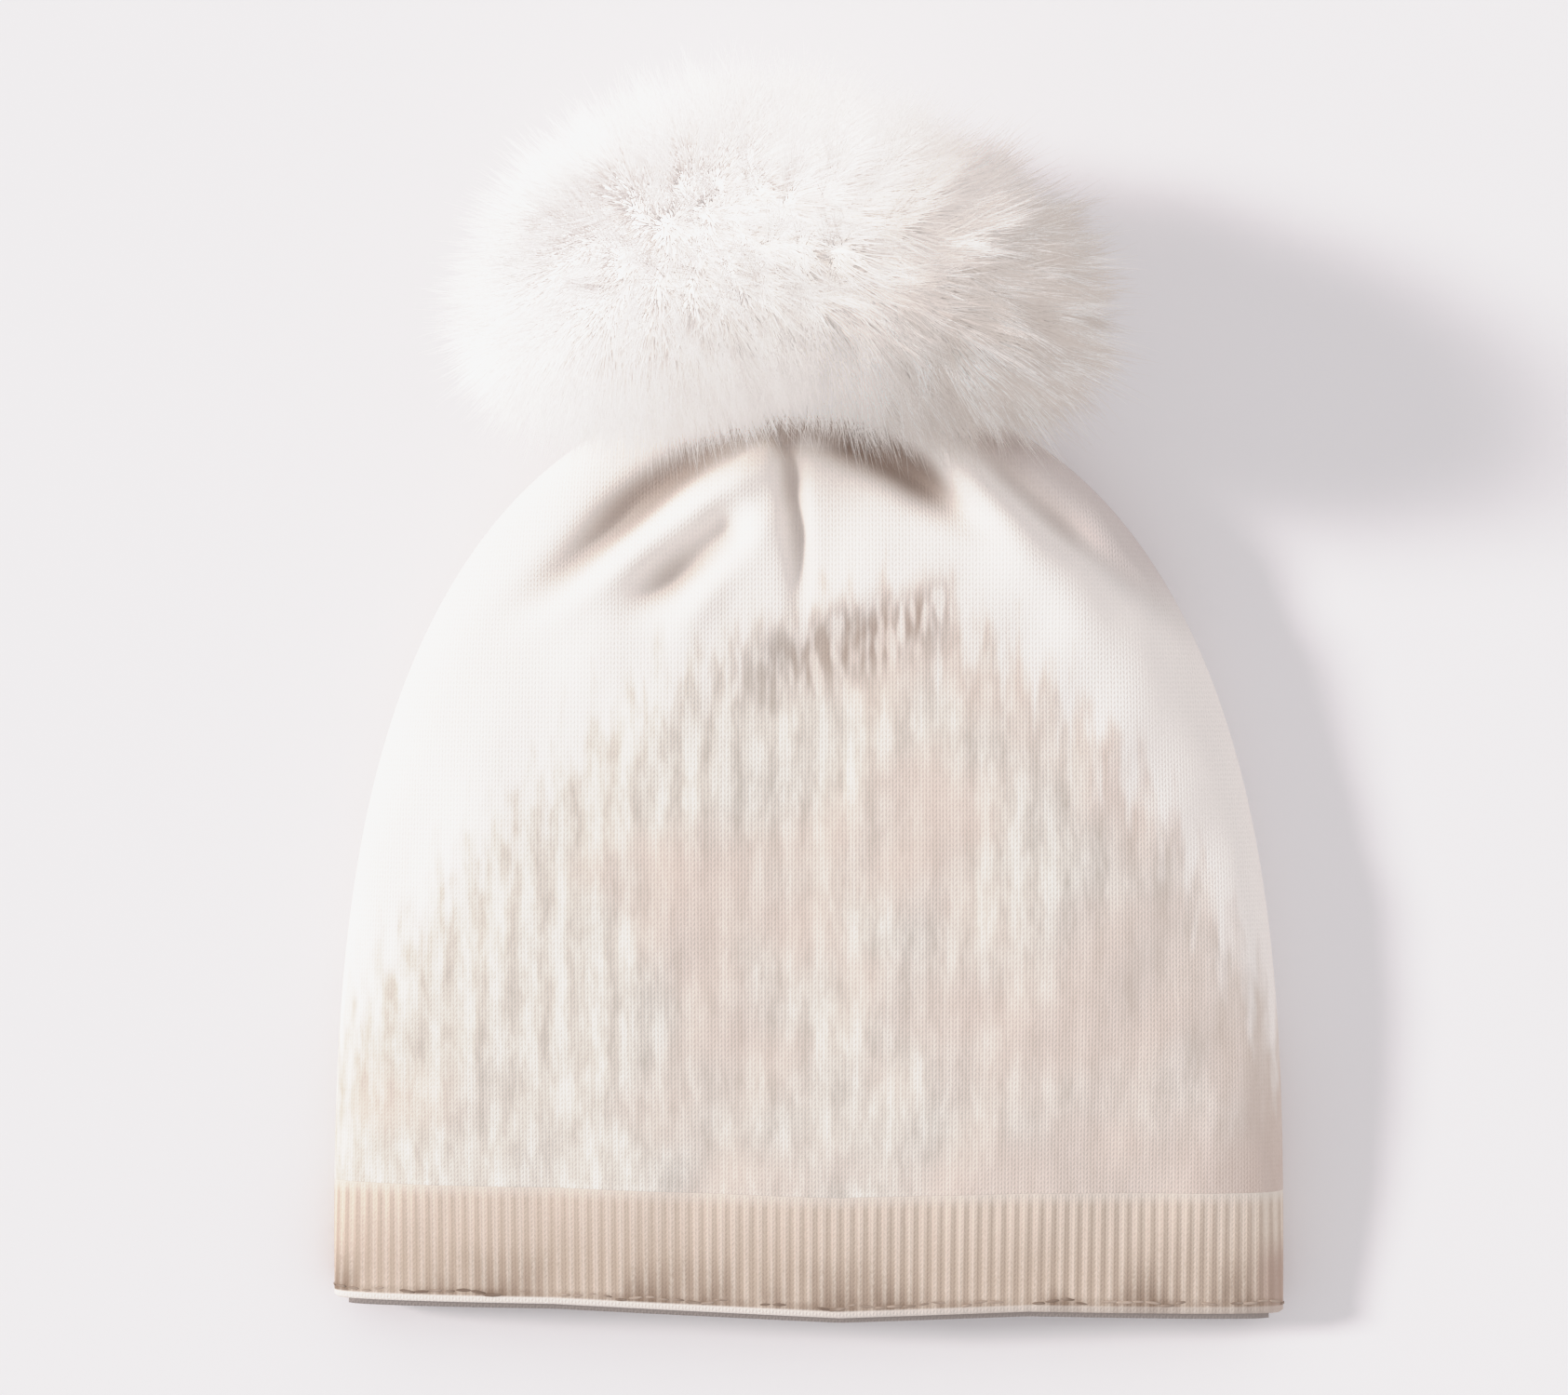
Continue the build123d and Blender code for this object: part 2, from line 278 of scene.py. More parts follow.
def makeFloor():
    mesh = bpy.data.meshes.new("floor")
    side = 9.0
    mesh.from_pydata([(-side, -side, 0), (side, -side, 0), (side, side, 0), (-side, side, 0)], [], [(0, 1, 2, 3)])
    floor = placeMesh("floor", mesh)
    mesh.materials.append(newMaterial("paleFloor", Roughness=0.6, Base_Color=srgb(240, 237, 238))[0])


setCamera()
setLight()
makeFloor()
print("stage: camera, light and floor")

# The hat's outline as it lies flat, measured from the hem in metres
hat = {
    "width": 0.218, "taperEnd": 0.212, "hemHeight": 0.020, "middleHeight": 0.0345, "crownHeight": 0.030,
    "crownEnd": 0.204, "crownLift": 0.007, "liftStart": 0.158, "swell": 0.105, "sagStart": 0.110,
    "liningEnd": 0.190, "flatness": 2.4, "ribHeight": 0.0285, "holeRadius": 0.0106, "tipRoom": 0.0109, "hemWave": 1.0,
}
# Valleys and ridges of the cloth: start, end, half width and depth, in millimetres from the hem's middle
folds = [
    ((-9, 204), (-69, 160), 5.6, -6.6),
    ((-12, 193), (-58, 158), 4.6, 3.0),
    ((-18, 179), (-41, 158), 5.0, -4.8),
    ((-10, 180), (-32, 152), 4.5, 1.8),
    ((-5, 204), (-2.5, 160), 2.8, -3.7),
    ((0, 205), (44, 177), 5.2, -9.0),
    ((34, 191), (66, 152), 7.0, 3.4),
    ((31, 204), (79, 160), 4.6, -4.4),
    ((37, 204), (62, 190), 3.2, -3.2),
    ((-22, 142), (2, 152), 4.6, -0.5),
    ((-3, 151), (27, 162), 5.0, -0.8),
]


def smoothStep(value):
    value = np.clip(value, 0, 1)
    return value * value * (3 - 2 * value)


# Soft random field from a few seeded waves, about one unit high
def softWaves(x, y, size, seed, count=7):
    dice = np.random.RandomState(seed)
    total = 0
    for step in range(count):
        angle = dice.uniform(0, math.tau)
        length = size * dice.uniform(0.6, 1.7)
        phase = dice.uniform(0, math.tau)
        total = total + np.sin((x * math.cos(angle) + y * math.sin(angle)) * math.tau / length + phase)
    return total / math.sqrt(count)


def foldHeight(x, y):
    total = 0.0009 * softWaves(x, y, 0.075, 4) + 0.0003 * softWaves(x, y, 0.026, 9)
    for start, end, width, depth in folds:
        startX, startY, endX, endY = start[0] / 1000, start[1] / 1000, end[0] / 1000, end[1] / 1000
        runX, runY = endX - startX, endY - startY
        length = math.hypot(runX, runY)
        along = ((x - startX) * runX + (y - startY) * runY) / length ** 2
        bend = 0.25 * width / 1000 * np.sin(along * 4.2 + startX * 300)
        aside = ((x - startX) * runY - (y - startY) * runX) / length + bend
        spread = width / 1000 * (1.1 - 0.25 * np.clip(along, 0, 1))
        fade = smoothStep((along + 0.25) * 3) * smoothStep((1.15 - along) * 1.6)
        total = total + depth / 1000 * np.exp(-(aside / spread) ** 2) * fade
    return total


# How deep in the folds' valleys a point lies, from 0 to 1, kept on the mesh for the painted crease shade in its
# material
def markCreases(piece):
    x, y, z = getPoints(piece.data).astype(np.float32).T
    deep = np.clip(-foldHeight(x, y - hemY) / 0.0075, 0, 1) * smoothStep((z / topHeight(y - hemY) - 0.3) * 3)
    mark = piece.data.attributes.new("crease", "FLOAT", "POINT")
    mark.data.foreach_set("value", deep.astype(np.float32))


def topHeight(y):
    y = np.maximum(y, 0)
    swell = np.sin(math.pi / 2 * np.minimum(1, y / hat["swell"]))
    sink = (hat["middleHeight"] - hat["crownHeight"]) * (y / hat["crownEnd"]) ** 6
    return hat["hemHeight"] + (hat["middleHeight"] - hat["hemHeight"]) * swell - sink


# One ring of cloth around the hat: points evenly spaced from under the middle, right side first
def clothRing(y, inset, slack, taperEnd, count, below=1.0):
    reach = max(y, 0)
    halfWidth = (hat["width"] / 2 - inset) * (1 - (reach / (taperEnd - inset)) ** 3) ** (1 / 2.3)
    sag = slack * (max(0, reach - hat["sagStart"]) / (hat["liningEnd"] - hat["sagStart"])) ** 2
    foldRadius = hat["hemHeight"] * 0.45 + 0.0025 * reach / hat["crownEnd"] - inset
    lift = hat["crownLift"] * (max(0, reach - hat["liftStart"]) / (hat["crownEnd"] - hat["liftStart"])) ** 2
    low = lift + inset + sag
    middle = low + foldRadius
    rise = float(topHeight(y)) - inset - sag - middle
    flatCount, cornerCount, archCount = 40, 24, 241
    quarter = np.linspace(0, math.pi / 2, cornerCount)
    half = np.linspace(0, math.pi, archCount)
    squarer = 2 / hat["flatness"]
    overX, overZ = np.sign(np.cos(half)) * np.abs(np.cos(half)) ** squarer, np.sin(half) ** squarer
    flat = np.linspace(0, halfWidth - foldRadius, flatCount)
    x = np.concatenate([
        flat, halfWidth - foldRadius + foldRadius * np.sin(quarter[1:]), halfWidth * overX[1:],
        foldRadius - halfWidth - foldRadius * np.cos(quarter[1:]), -flat[::-1][1:],
    ])
    z = np.concatenate([
        np.full(flatCount, low), middle - foldRadius * np.cos(quarter[1:]), middle + rise * overZ[1:],
        middle - foldRadius * np.sin(quarter[1:]), np.full(flatCount - 1, low),
    ])
    onTop = np.concatenate([
        np.zeros(flatCount + cornerCount - 1), overZ[1:], np.zeros(flatCount + cornerCount - 2),
    ])
    step = np.hypot(np.diff(x), np.diff(z))
    travel = np.concatenate([[0], np.cumsum(step)])
    share = np.concatenate([[0], np.cumsum(step * np.where(onTop[1:] > 0, 1.0, below))])
    even = np.interp(np.linspace(0, share[-1], count + 1), share, travel)
    ringX, ringZ, top = np.interp(even, travel, x), np.interp(even, travel, z), np.interp(even, travel, onTop)
    topMiddle = travel[flatCount + cornerCount - 2 + archCount // 2]
    return ringX, ringZ, smoothStep(top * 2.2), even - topMiddle


# Rings joined into one closed skin of cloth, with its own unwrapping in metres
def clothSkin(name, rings, closedLoop=True):
    points = np.array([ring[0] for ring in rings])
    spread = np.array([ring[1] for ring in rings])
    rows, around = points.shape[0], points.shape[1] - 1
    vertices = points[:, :around].reshape(-1, 3)
    rowIndex = np.arange(rows if closedLoop else rows - 1)
    nextRow = (rowIndex + 1) % rows
    column = np.arange(around)
    nextColumn = (column + 1) % around
    faces = np.stack([
        (rowIndex[:, None] * around + column[None]), (rowIndex[:, None] * around + nextColumn[None]),
        (nextRow[:, None] * around + nextColumn[None]), (nextRow[:, None] * around + column[None]),
    ], axis=2).reshape(-1, 4)
    mesh = bpy.data.meshes.new(name)
    mesh.vertices.add(len(vertices))
    mesh.vertices.foreach_set("co", vertices.astype(np.float32).ravel())
    mesh.loops.add(faces.size)
    mesh.loops.foreach_set("vertex_index", faces.astype(np.int32).ravel())
    mesh.polygons.add(len(faces))
    mesh.polygons.foreach_set("loop_start", np.arange(0, faces.size, 4, dtype=np.int32))
    mesh.polygons.foreach_set("use_smooth", np.ones(len(faces), bool))
    uvMap = mesh.uv_layers.new(name="cloth")
    corners = np.stack([
        spread[rowIndex][:, :-1], spread[rowIndex][:, 1:], spread[nextRow][:, 1:], spread[nextRow][:, :-1],
    ], axis=2).reshape(-1, 2)
    uvMap.data.foreach_set("uv", corners.astype(np.float32).ravel())
    mesh.update()
    mesh.validate()
    return placeMesh(name, mesh)


# A ring in its final place: folds pressed in, the hem a little uneven
def placedRing(y, inset, slack, taperEnd, count, relief=None, below=1.0):
    x, z, top, travel = clothRing(y, inset, slack, taperEnd, count, below)
    press = foldHeight(x, np.full_like(x, y)) * top * smoothStep((y - 0.004) / 0.03)
    z = z + press
    # room above the ball of gathers, which turns when the pom pom nods
    flat, room = x ** 2 + (y + hemY - pivot[1]) ** 2, (hat["tipRoom"] - inset) ** 2
    z = np.where(top > 0.05, np.maximum(z, pivot[2] + np.sqrt(np.maximum(0, room - flat)) - 0.02 * (flat >= room)), z)
    if relief is not None:
        outX, outZ = np.gradient(z), -np.gradient(x)
        size = np.hypot(outX, outZ) + 1e-12
        amount = relief(travel, y)
        x, z = x + outX / size * amount, z + outZ / size * amount
    uneven = np.interp(x, [-0.109, -0.058, 0.007, 0.05, 0.108], [0.0032, 0.0027, -0.0004, 0.0010, -0.0004])
    shifted = y + uneven * smoothStep((0.075 - y) / 0.075) * hat["hemWave"]
    points = np.stack([x, hemY + shifted, np.maximum(z, 0.00002)], axis=1)
    spread = np.stack([travel, np.full_like(travel, y)], axis=1)
    return points, spread


# End wall of the crown: the last ring drawn in to the hole, with its gathers
def gatheredRings(edge, steps, depth, holeRadius, pleats, pleatDepth, turnBack):
    points, spread = edge
    around = len(points)
    centre = pivotPoint
    angles = np.arctan2(points[:, 2] - centre[2], points[:, 0])
    goal = np.stack([
        np.cos(angles) * holeRadius, np.full(around, points[0, 1]), centre[2] + np.sin(angles) * holeRadius,
    ], axis=1)
    rings = []
    for step in range(1, steps + 1):
        share = step / steps
        ring = points * (1 - share) + goal * share
        bulge = math.sin(math.pi * share) * depth
        pleat = pleatDepth * math.sin(math.pi * min(1, share * 1.15)) ** 0.5 * np.sin(angles * pleats)
        ring[:, 1] = points[:, 1] + turnBack * (bulge + pleat)
        rings.append((ring, spread + np.array([0, 0.002 * step])))
    return rings


knitBody = {"around": 330, "rows": 118, "thickness": 0.0022, "pleats": 26, "pleatDepth": 0.0007, "lip": 0.0001}


def makeKnitBody():
    size = knitBody
    share = 1 - (1 - np.linspace(0, 1, size["rows"])) ** 1.15
    rowsY = hat["ribHeight"] - 0.0004 + (hat["crownEnd"] - hat["ribHeight"]) * share
    rowsY = np.concatenate([rowsY[:1], rowsY[:1] + size["lip"], rowsY[1:]])
    outer = [placedRing(y, 0, 0, hat["taperEnd"], size["around"], None, 0.5) for y in rowsY]
    outer += gatheredRings(outer[-1], 7, 0.0008, hat["holeRadius"], size["pleats"], size["pleatDepth"], 1)
    inside = rowsY[rowsY < hat["crownEnd"] - size["thickness"]]
    inner = [placedRing(y, size["thickness"], 0, hat["taperEnd"], size["around"], None, 0.5) for y in inside]
    inner += gatheredRings(inner[-1], 5, 0.0004, hat["holeRadius"], size["pleats"], size["pleatDepth"], 1)
    return clothSkin("knitBody", (outer + inner[::-1])[::-1])


body = makeKnitBody()
markCreases(body)
print("stage: knit body", len(body.data.polygons))

ribBand = {"ribs": 158, "perRib": 6, "rows": 20, "ribDepth": 0.00014, "thickness": 0.0022, "lip": 0.0001}


def makeRibBand():
    size = ribBand
    around = size["ribs"] * size["perRib"]

    def ribRelief(travel, y):
        total = travel[-1] - travel[0]
        wave = np.cos(travel / total * size["ribs"] * math.tau)
        sunk = -0.00006 * smoothStep((y - hat["ribHeight"] + 0.0012) / 0.0009)
        flush = smoothStep((hat["ribHeight"] - 0.0004 - y) / 0.004)
        return size["ribDepth"] * (wave * 0.5 - 0.5) * smoothStep((y - 0.0022) / 0.002) * flush + sunk
    rowsY = np.linspace(hat["ribHeight"] - 0.00005, 0.0006, size["rows"])
    rowsY = np.concatenate([rowsY[:1], rowsY[:1] - size["lip"], rowsY[1:]])    # a close row keeps the edge crisp
    outer = [placedRing(y, 0, 0, hat["taperEnd"], around, ribRelief) for y in rowsY]
    outer += [placedRing(y, inset, 0, hat["taperEnd"], around) for y, inset in ((0.0, 0.0008), (0.0, 0.0014))]
    inner = [placedRing(y, size["thickness"], 0, hat["taperEnd"], around) for y in rowsY[::-1]]
    rings = (outer + inner)[::-1]
    return clothSkin("ribBand", rings)


band = makeRibBand()
print("stage: rib band", len(band.data.polygons))

lining = {
    "around": 220, "rows": 70, "start": -0.0014, "end": 0.190, "taperEnd": 0.197, "outer": 0.0031, "inner": 0.0045,
    "slack": 0.004,
}


def closeEnd(edge, steps, forward):
    points, spread = edge
    middle = points.mean(axis=0)
    rings = []
    for step in range(1, steps + 1):
        share = step / steps * 0.985
        ring = points * (1 - share) + middle * share
        ring[:, 1] = points[:, 1] + forward * math.sin(share * math.pi / 2)
        rings.append((ring, spread + np.array([0, 0.002 * step])))
    return rings


def makeLining():
    size = lining
    rowsY = size["start"] + (size["end"] - size["start"]) * np.linspace(0, 1, size["rows"])
    outer = [placedRing(y, size["outer"], size["slack"], size["taperEnd"], size["around"]) for y in rowsY]
    outer += closeEnd(outer[-1], 5, 0.0015)
    inner = [placedRing(y, size["inner"], size["slack"], size["taperEnd"], size["around"]) for y in rowsY[:-1]]
    inner += closeEnd(inner[-1], 5, 0.0015)
    return clothSkin("liningKnit", (outer + inner[::-1])[::-1])


liningPiece = makeLining()
print("stage: lining", len(liningPiece.data.polygons))


# Knit materials
def knitMaterial(name):
    material, board, shader = newMaterial(name, Roughness=0.95, Specular_IOR_Level=0.15)
    cloth = board.add("ShaderNodeUVMap", {"uv_map": "cloth"})
    apart = board.apart(cloth)
    return material, board, shader, apart.out("X"), apart.out("Y")


def stitchHeight(u, v, wale, course):
    side = (u / wale).math("PINGPONG", 0.5)
    slant = v / course + side * 1.6
    loop = (slant * math.tau).math("SINE") * 0.5 + 0.5
    leg = (side * 2 * math.pi).math("SINE")
    return loop * 0.45 + leg * 0.55


def noise(board, x, y, z, scale, detail=2.0):
    return board.noise(board.point(x, y, z), scale, detail)


patternKnit = {
    "wale": 0.0015, "course": 0.0011, "archTop": 0.164, "archMiddle": 0.0175, "leftCurve": 5.9, "rightCurve": 12.0,
    "column": 0.0073, "white": srgb(247, 241, 236), "cream": srgb(241, 235, 228), "beige": srgb(208, 199, 189),
    "blush": srgb(226, 208, 197), "shade": srgb(150, 127, 113), "side": srgb(205, 184, 174),
    "flankShade": srgb(196, 182, 178),
}


def patternMaterial():
    size = patternKnit
    material, board, shader, u, v = knitMaterial("patternKnit")
    place = board.apart(board.place())
    x = place.out("X")
    side = x - size["archMiddle"]
    curve = side.math("GREATER_THAN", 0.0) * (size["rightCurve"] - size["leftCurve"]) + size["leftCurve"]
    wander = noise(board, u, v * 0.2, 4.0, 45.0) * 1.7
    column = (u / size["column"] * math.tau + wander).math("SINE")
    broken = noise(board, u, v * 0.22, 1.7, 400.0, 1.0)
    fine = noise(board, u, v * 0.30, 5.1, 950.0, 1.0)
    drift = noise(board, u, v, 9.0, 26.0, 2.0)
    edge = size["archTop"] - curve * side * side - v
    inside = (edge - column * 0.006 + broken * 0.030 - 0.015).ramp(-0.006, 0.020)
    settled = (v - 0.010).ramp(0.0, 0.075, 0.25, 1.0)
    streak = column * 0.22 * settled + broken * 1.15 + fine * 0.5 + drift * 0.4 - 0.55
    ground = board.mix(streak.ramp(0.12, 0.92, kind="LINEAR"), size["cream"], size["beige"])
    ground = board.mix((drift * 2 + x * 4 - 0.78).ramp(0.0, 0.6, 0.0, 0.6), ground, size["blush"])
    sideShade = (x - 0.078).ramp(0.0, 0.026) * (0.075 - v).ramp(0.0, 0.05)
    ground = board.mix(sideShade * 0.65, ground, size["side"])
    ground = board.mix(inside, size["white"], ground)
    # painted shade of a slanting crease across the top of the arch, mottled
    line = v - (x + 0.0229) * 0.40 - 0.1410 + drift * 0.026 - 0.013
    tuckShade = (0.0150 - line.math("ABSOLUTE")).ramp(0.0, 0.0140)
    tuckShade = tuckShade * (0.036 - x).ramp(0.0, 0.010) * (x + 0.036).ramp(0.0, 0.050)
    ground = board.mix(tuckShade * (0.3 + broken.ramp(0.38, 0.60) * 0.7) * 0.66, ground, size["shade"])
    # painted shade on the crown's right side, which turns away from the window
    flankShade = ((x - 0.027) * 0.699 + (v - 0.202) * 0.716).ramp(0.0006, 0.0086) * (v - 0.145).ramp(0.0, 0.030)
    ground = board.mix(flankShade * 0.66, ground, size["flankShade"])
    crease = board.kept("crease", 2)
    # painted shade in the folds' valleys, darker still near the crown where the pom pom's shadow falls
    creaseShade = crease.ramp(0.02, 0.9, 0.0, 0.50) + crease * (v - 0.172).ramp(0.0, 0.022) * 0.34
    ground = board.mix(creaseShade, ground, size["shade"])
    stitch = stitchHeight(u, v, size["wale"], size["course"])
    # painted shade in the hollows between the stitches
    colour = board.mix(stitch.ramp(0.1, 0.5, 0.10, 0.0), ground, srgb(196, 182, 168))
    plug(board, colour, shader, "Base Color")
    roughen(board, shader, 0.35, 0.0004, stitch + fine * 0.5)
    return material


ribKnit = {
    "ribs": 158, "perimeter": 0.4493, "top": srgb(224, 208, 194), "low": srgb(207, 188, 172),
    "crestLight": srgb(236, 222, 209),
    "valleyShade": srgb(172, 153, 137), "patch": srgb(150, 128, 112), "edge": srgb(240, 232, 225),
    "sideFoldShade": srgb(186, 160, 147),
    "join": srgb(229, 219, 209),
}


def ribMaterial():
    size = ribKnit
    material, board, shader, u, v = knitMaterial("ribKnit")
    place = board.apart(board.place())
    down = (v / hat["ribHeight"]).ramp(0.25, 1.0)
    ground = board.mix(down, size["low"], size["top"])
    ridge = (u / size["perimeter"] * size["ribs"] * math.tau).math("COSINE") * 0.5 + 0.5
    patch = noise(board, u, v * 0.3, 2.0, 130.0, 2.0)
    blotch = noise(board, u, v * 0.5, 6.0, 48.0, 2.0)
    grain = noise(board, u, v * 0.6, 8.0, 1500.0, 1.0)
    ground = board.mix(blotch.ramp(0.46, 0.66, 0.0, 0.62) * (0.016 - v).ramp(0.0, 0.012), ground, size["patch"])
    # painted light on the rib crests and painted shade in the valleys between the ribs, broken by patches and grain
    ground = board.mix((ridge * (patch * 0.5 + grain * 0.5)).ramp(0.2, 0.6, 0.0, 0.55), ground, size["crestLight"])
    ground = board.mix(((1 - ridge) * (0.6 + grain * 0.8)).ramp(0.4, 1.0, 0.0, 0.38), ground, size["valleyShade"])
    ground = board.mix((v - 0.0245).ramp(0.0, 0.004, 0.0, 0.8), ground, size["join"])
    # painted shade at the band's right edge near the hem, where the cloth turns away from the window
    rightFoldShade = (place.out("X") - 0.099).ramp(0.0, 0.008) * (0.020 - v).ramp(0.0, 0.010)
    ground = board.mix(rightFoldShade * 0.7, ground, size["sideFoldShade"])
    # painted shade near the hem: blotchy darkening, strongest between the ribs, and a dark line just above the pale
    # lip
    hemShade = (0.0080 - v).ramp(0.0, 0.0065) * blotch.ramp(0.42, 0.66) * (grain * 0.7 + (1 - ridge) * 0.5 + 0.1)
    hemShade = hemShade + (0.0042 - v).ramp(0.0, 0.0018) * patch.ramp(0.35, 0.62) * 0.42
    ground = board.mix(hemShade, ground, size["patch"])
    # the hem's pale lip, its own colour, made less pale towards the right as painted shade away from the window
    brim = (0.0020 - v).ramp(0.0, 0.0006) * place.out("X").ramp(-0.02, 0.08, 1.0, 0.35)
    ground = board.mix(brim, ground, size["edge"])
    plug(board, ground, shader, "Base Color")
    stitch = stitchHeight(u, v, 0.00152, 0.0011)
    roughen(board, shader, 0.3, 0.0004, stitch)
    return material


def liningMaterial():
    material, board, shader, u, v = knitMaterial("liningKnit")
    patch = noise(board, u, v, 3.0, 40.0, 2.0)
    stitch = stitchHeight(u, v, 0.0015, 0.0011)
    colour = board.mix(patch.ramp(0.3, 0.7), srgb(226, 216, 205), srgb(238, 231, 222))
    # painted shade in the hollows between the stitches
    colour = board.mix(stitch.ramp(0.1, 0.5, 0.2, 0.0), colour, srgb(190, 176, 162))
    # painted shadow: the lip turned under the hem is darkened to stand in for the shade beneath the hem
    colour = board.mix((0.004 - v).ramp(0.0, 0.002) * 0.85, colour, srgb(152, 140, 136))
    plug(board, colour, shader, "Base Color")
    roughen(board, shader, 0.35, 0.0004, stitch)
    return material


finishPiece(body, patternMaterial(), "hat", "pattern_knit", "knit_body")
finishPiece(band, ribMaterial(), "hat", "rib_knit", "rib_band")
finishPiece(liningPiece, liningMaterial(), "hat", "lining_knit", "lining")


# A closed outline carried along a path, with its own unwrapping in metres
def carried(name, centres, sides, ups, outline, loop=False):
    centres, sides, ups = np.array(centres), np.array(sides), np.array(ups)
    if np.ndim(outline) == 2:
        outline = np.repeat(np.array(outline)[None], len(centres), axis=0)
    shut = np.concatenate([outline, outline[:, :1]], axis=1)
    points = centres[:, None] + shut[:, :, :1] * sides[:, None] + shut[:, :, 1:] * ups[:, None]
    along = np.concatenate([[0], np.cumsum(np.linalg.norm(np.diff(centres, axis=0), axis=1))])
    around = np.concatenate([[0], np.cumsum(np.hypot(*np.diff(shut[0], axis=0).T))])
    rings = [(ring, np.stack([around, np.full(len(around), place)], axis=1)) for ring, place in zip(points, along)]
    piece = clothSkin(name, rings, loop)
    work = bmesh.new()
    work.from_mesh(piece.data)
    if not loop:
        bmesh.ops.holes_fill(work, edges=[edge for edge in work.edges if edge.is_boundary], sides=0)
    bmesh.ops.recalc_face_normals(work, faces=work.faces)
    work.to_mesh(piece.data)
    work.free()
    return piece


def roundedBar(width, thickness, count=6):
    corner = thickness * 0.45
    points = []
    for turn, signX, signY in ((0, 1, 1), (1, -1, 1), (2, -1, -1), (3, 1, -1)):
        for step in range(count):
            angle = (turn + step / (count - 1)) * math.pi / 2
            points.append((signX * (width / 2 - corner) + corner * math.cos(angle),
                           signY * (thickness / 2 - corner) + corner * math.sin(angle)))
    return np.array(points)


# Turned shape about the press stud's axis: a profile of (along, radius), with pleats or waves
def turnedShape(name, profile, around, wave=None):
    steps = np.linspace(0, math.tau, around, endpoint=False)
    rings, vertices, faces = len(profile), [], []
    for along, radius in profile:
        for angle in steps:
            extra = wave(along, angle) if wave else 0
            away = max(0.00002, radius + extra)
            outward = acrossWay * math.cos(angle) + upWay * math.sin(angle)
            vertices.append(pivotPoint + studWay * along + outward * away)
    for ring in range(rings - 1):
        for step in range(around):
            here, following = ring * around + step, ring * around + (step + 1) % around
            faces.append((here, following, following + around, here + around))
    faces.append(tuple(range(around)))
    faces.append(tuple(range((rings - 1) * around, rings * around)))
    mesh = bpy.data.meshes.new(name)
    mesh.from_pydata([tuple(vertex) for vertex in vertices], [], faces)
    turnOutward(mesh)
    return placeMesh(name, mesh)


def turnOutward(mesh):
    work = bmesh.new()
    work.from_mesh(mesh)
    bmesh.ops.recalc_face_normals(work, faces=work.faces)
    work.to_mesh(mesh)
    work.free()
    mesh.polygons.foreach_set("use_smooth", np.ones(len(mesh.polygons), bool))


# A yarn laid along a ring, its plies twisted round one another
def yarnRing(name, along, radius, thick, plies=3, twists=26):
    steps = np.linspace(0, math.tau, 240, endpoint=False)
    outward = np.outer(np.cos(steps), acrossWay) + np.outer(np.sin(steps), upWay)
    centres = pivotPoint + studWay * along + outward * radius
    turn = np.linspace(0, math.tau, 18, endpoint=False)
    lobes = thick * (0.86 + 0.14 * np.cos(plies * (turn[None] + steps[:, None] * twists / plies)))
    outline = np.stack([lobes * np.cos(turn), lobes * np.sin(turn)], axis=2)
    return carried(name, centres, outward, np.tile(studWay, (len(steps), 1)), outline, True)


def threadMaterial(name, light, dark, twist=1400.0):
    material, board, shader = newMaterial(name, Roughness=0.8, Specular_IOR_Level=0.25)
    place = board.place()
    strands = board.noise(place, twist, 2.0)
    plug(board, board.mix(strands.ramp(0.3, 0.7), dark, light), shader, "Base Color")
    roughen(board, shader, 0.4, 0.0001, strands)
    return material


# thread colour for the hem, its dark tone partly painted shade for the gaps along the hem
hemThreadAndShade = threadMaterial("hemThreadAndShade", srgb(196, 177, 162), srgb(134, 114, 100), 160.0)
paleThread = threadMaterial("paleThread", srgb(240, 232, 222), srgb(214, 202, 190))


# Rows of stitches: small beads of thread set along a line
def stitchTree(material):
    sizes = {"Spacing": 0.004, "Length": 0.0035, "Thick": 0.0006, "Missing": 0.0, "Seed": 1, "Thread": material}
    tree, board, wires = growthTree("stitchRow", sizes)
    line = board.add("GeometryNodeMeshToCurve", None, [wires["Geometry"]])
    line = board.add("GeometryNodeResampleCurve", {"mode": "LENGTH"}, {"Curve": line, "Length": wires["Spacing"]})
    bead = board.add("GeometryNodeMeshUVSphere", None, {"Segments": 8, "Rings": 6, "Radius": 0.5})
    tangent = board.add("GeometryNodeInputTangent")
    turn = board.add("FunctionNodeAlignRotationToVector", {"axis": "X"}, {"Vector": tangent})
    chance = board.chance(0.0, 1.0, wires["Seed"])
    vary = board.chance(0.7, 1.25, wires["Seed"] + 5)
    grown = board.add("GeometryNodeInstanceOnPoints", None, {
        "Points": line, "Instance": bead, "Rotation": turn,
        "Selection": chance.math("GREATER_THAN", wires["Missing"]),
        "Scale": board.point(wires["Length"] * vary, wires["Thick"] * vary, wires["Thick"])})
    endTree(board, grown, wires["Thread"])
    return tree


def stitchRow(name, points, sizes, loop=False):
    mesh = bpy.data.meshes.new(name + "Line")
    count = len(points)
    edges = [(step, step + 1) for step in range(count - 1)] + ([(count - 1, 0)] if loop else [])
    mesh.from_pydata([tuple(point) for point in points], edges, [])
    line = placeMesh(name + "Line", mesh)
    piece = grow(name, line, stitchTree(sizes["Thread"]), sizes)
    bpy.data.objects.remove(line)
    return piece


# Link stitches round the hem; their thread's dark tone is partly painted shade for the gaps between the rib ends
hemStitch = {"height": 0.0026, "Spacing": 0.0034, "Length": 0.0036, "Thick": 0.00072, "Missing": 0.25, "Seed": 4}


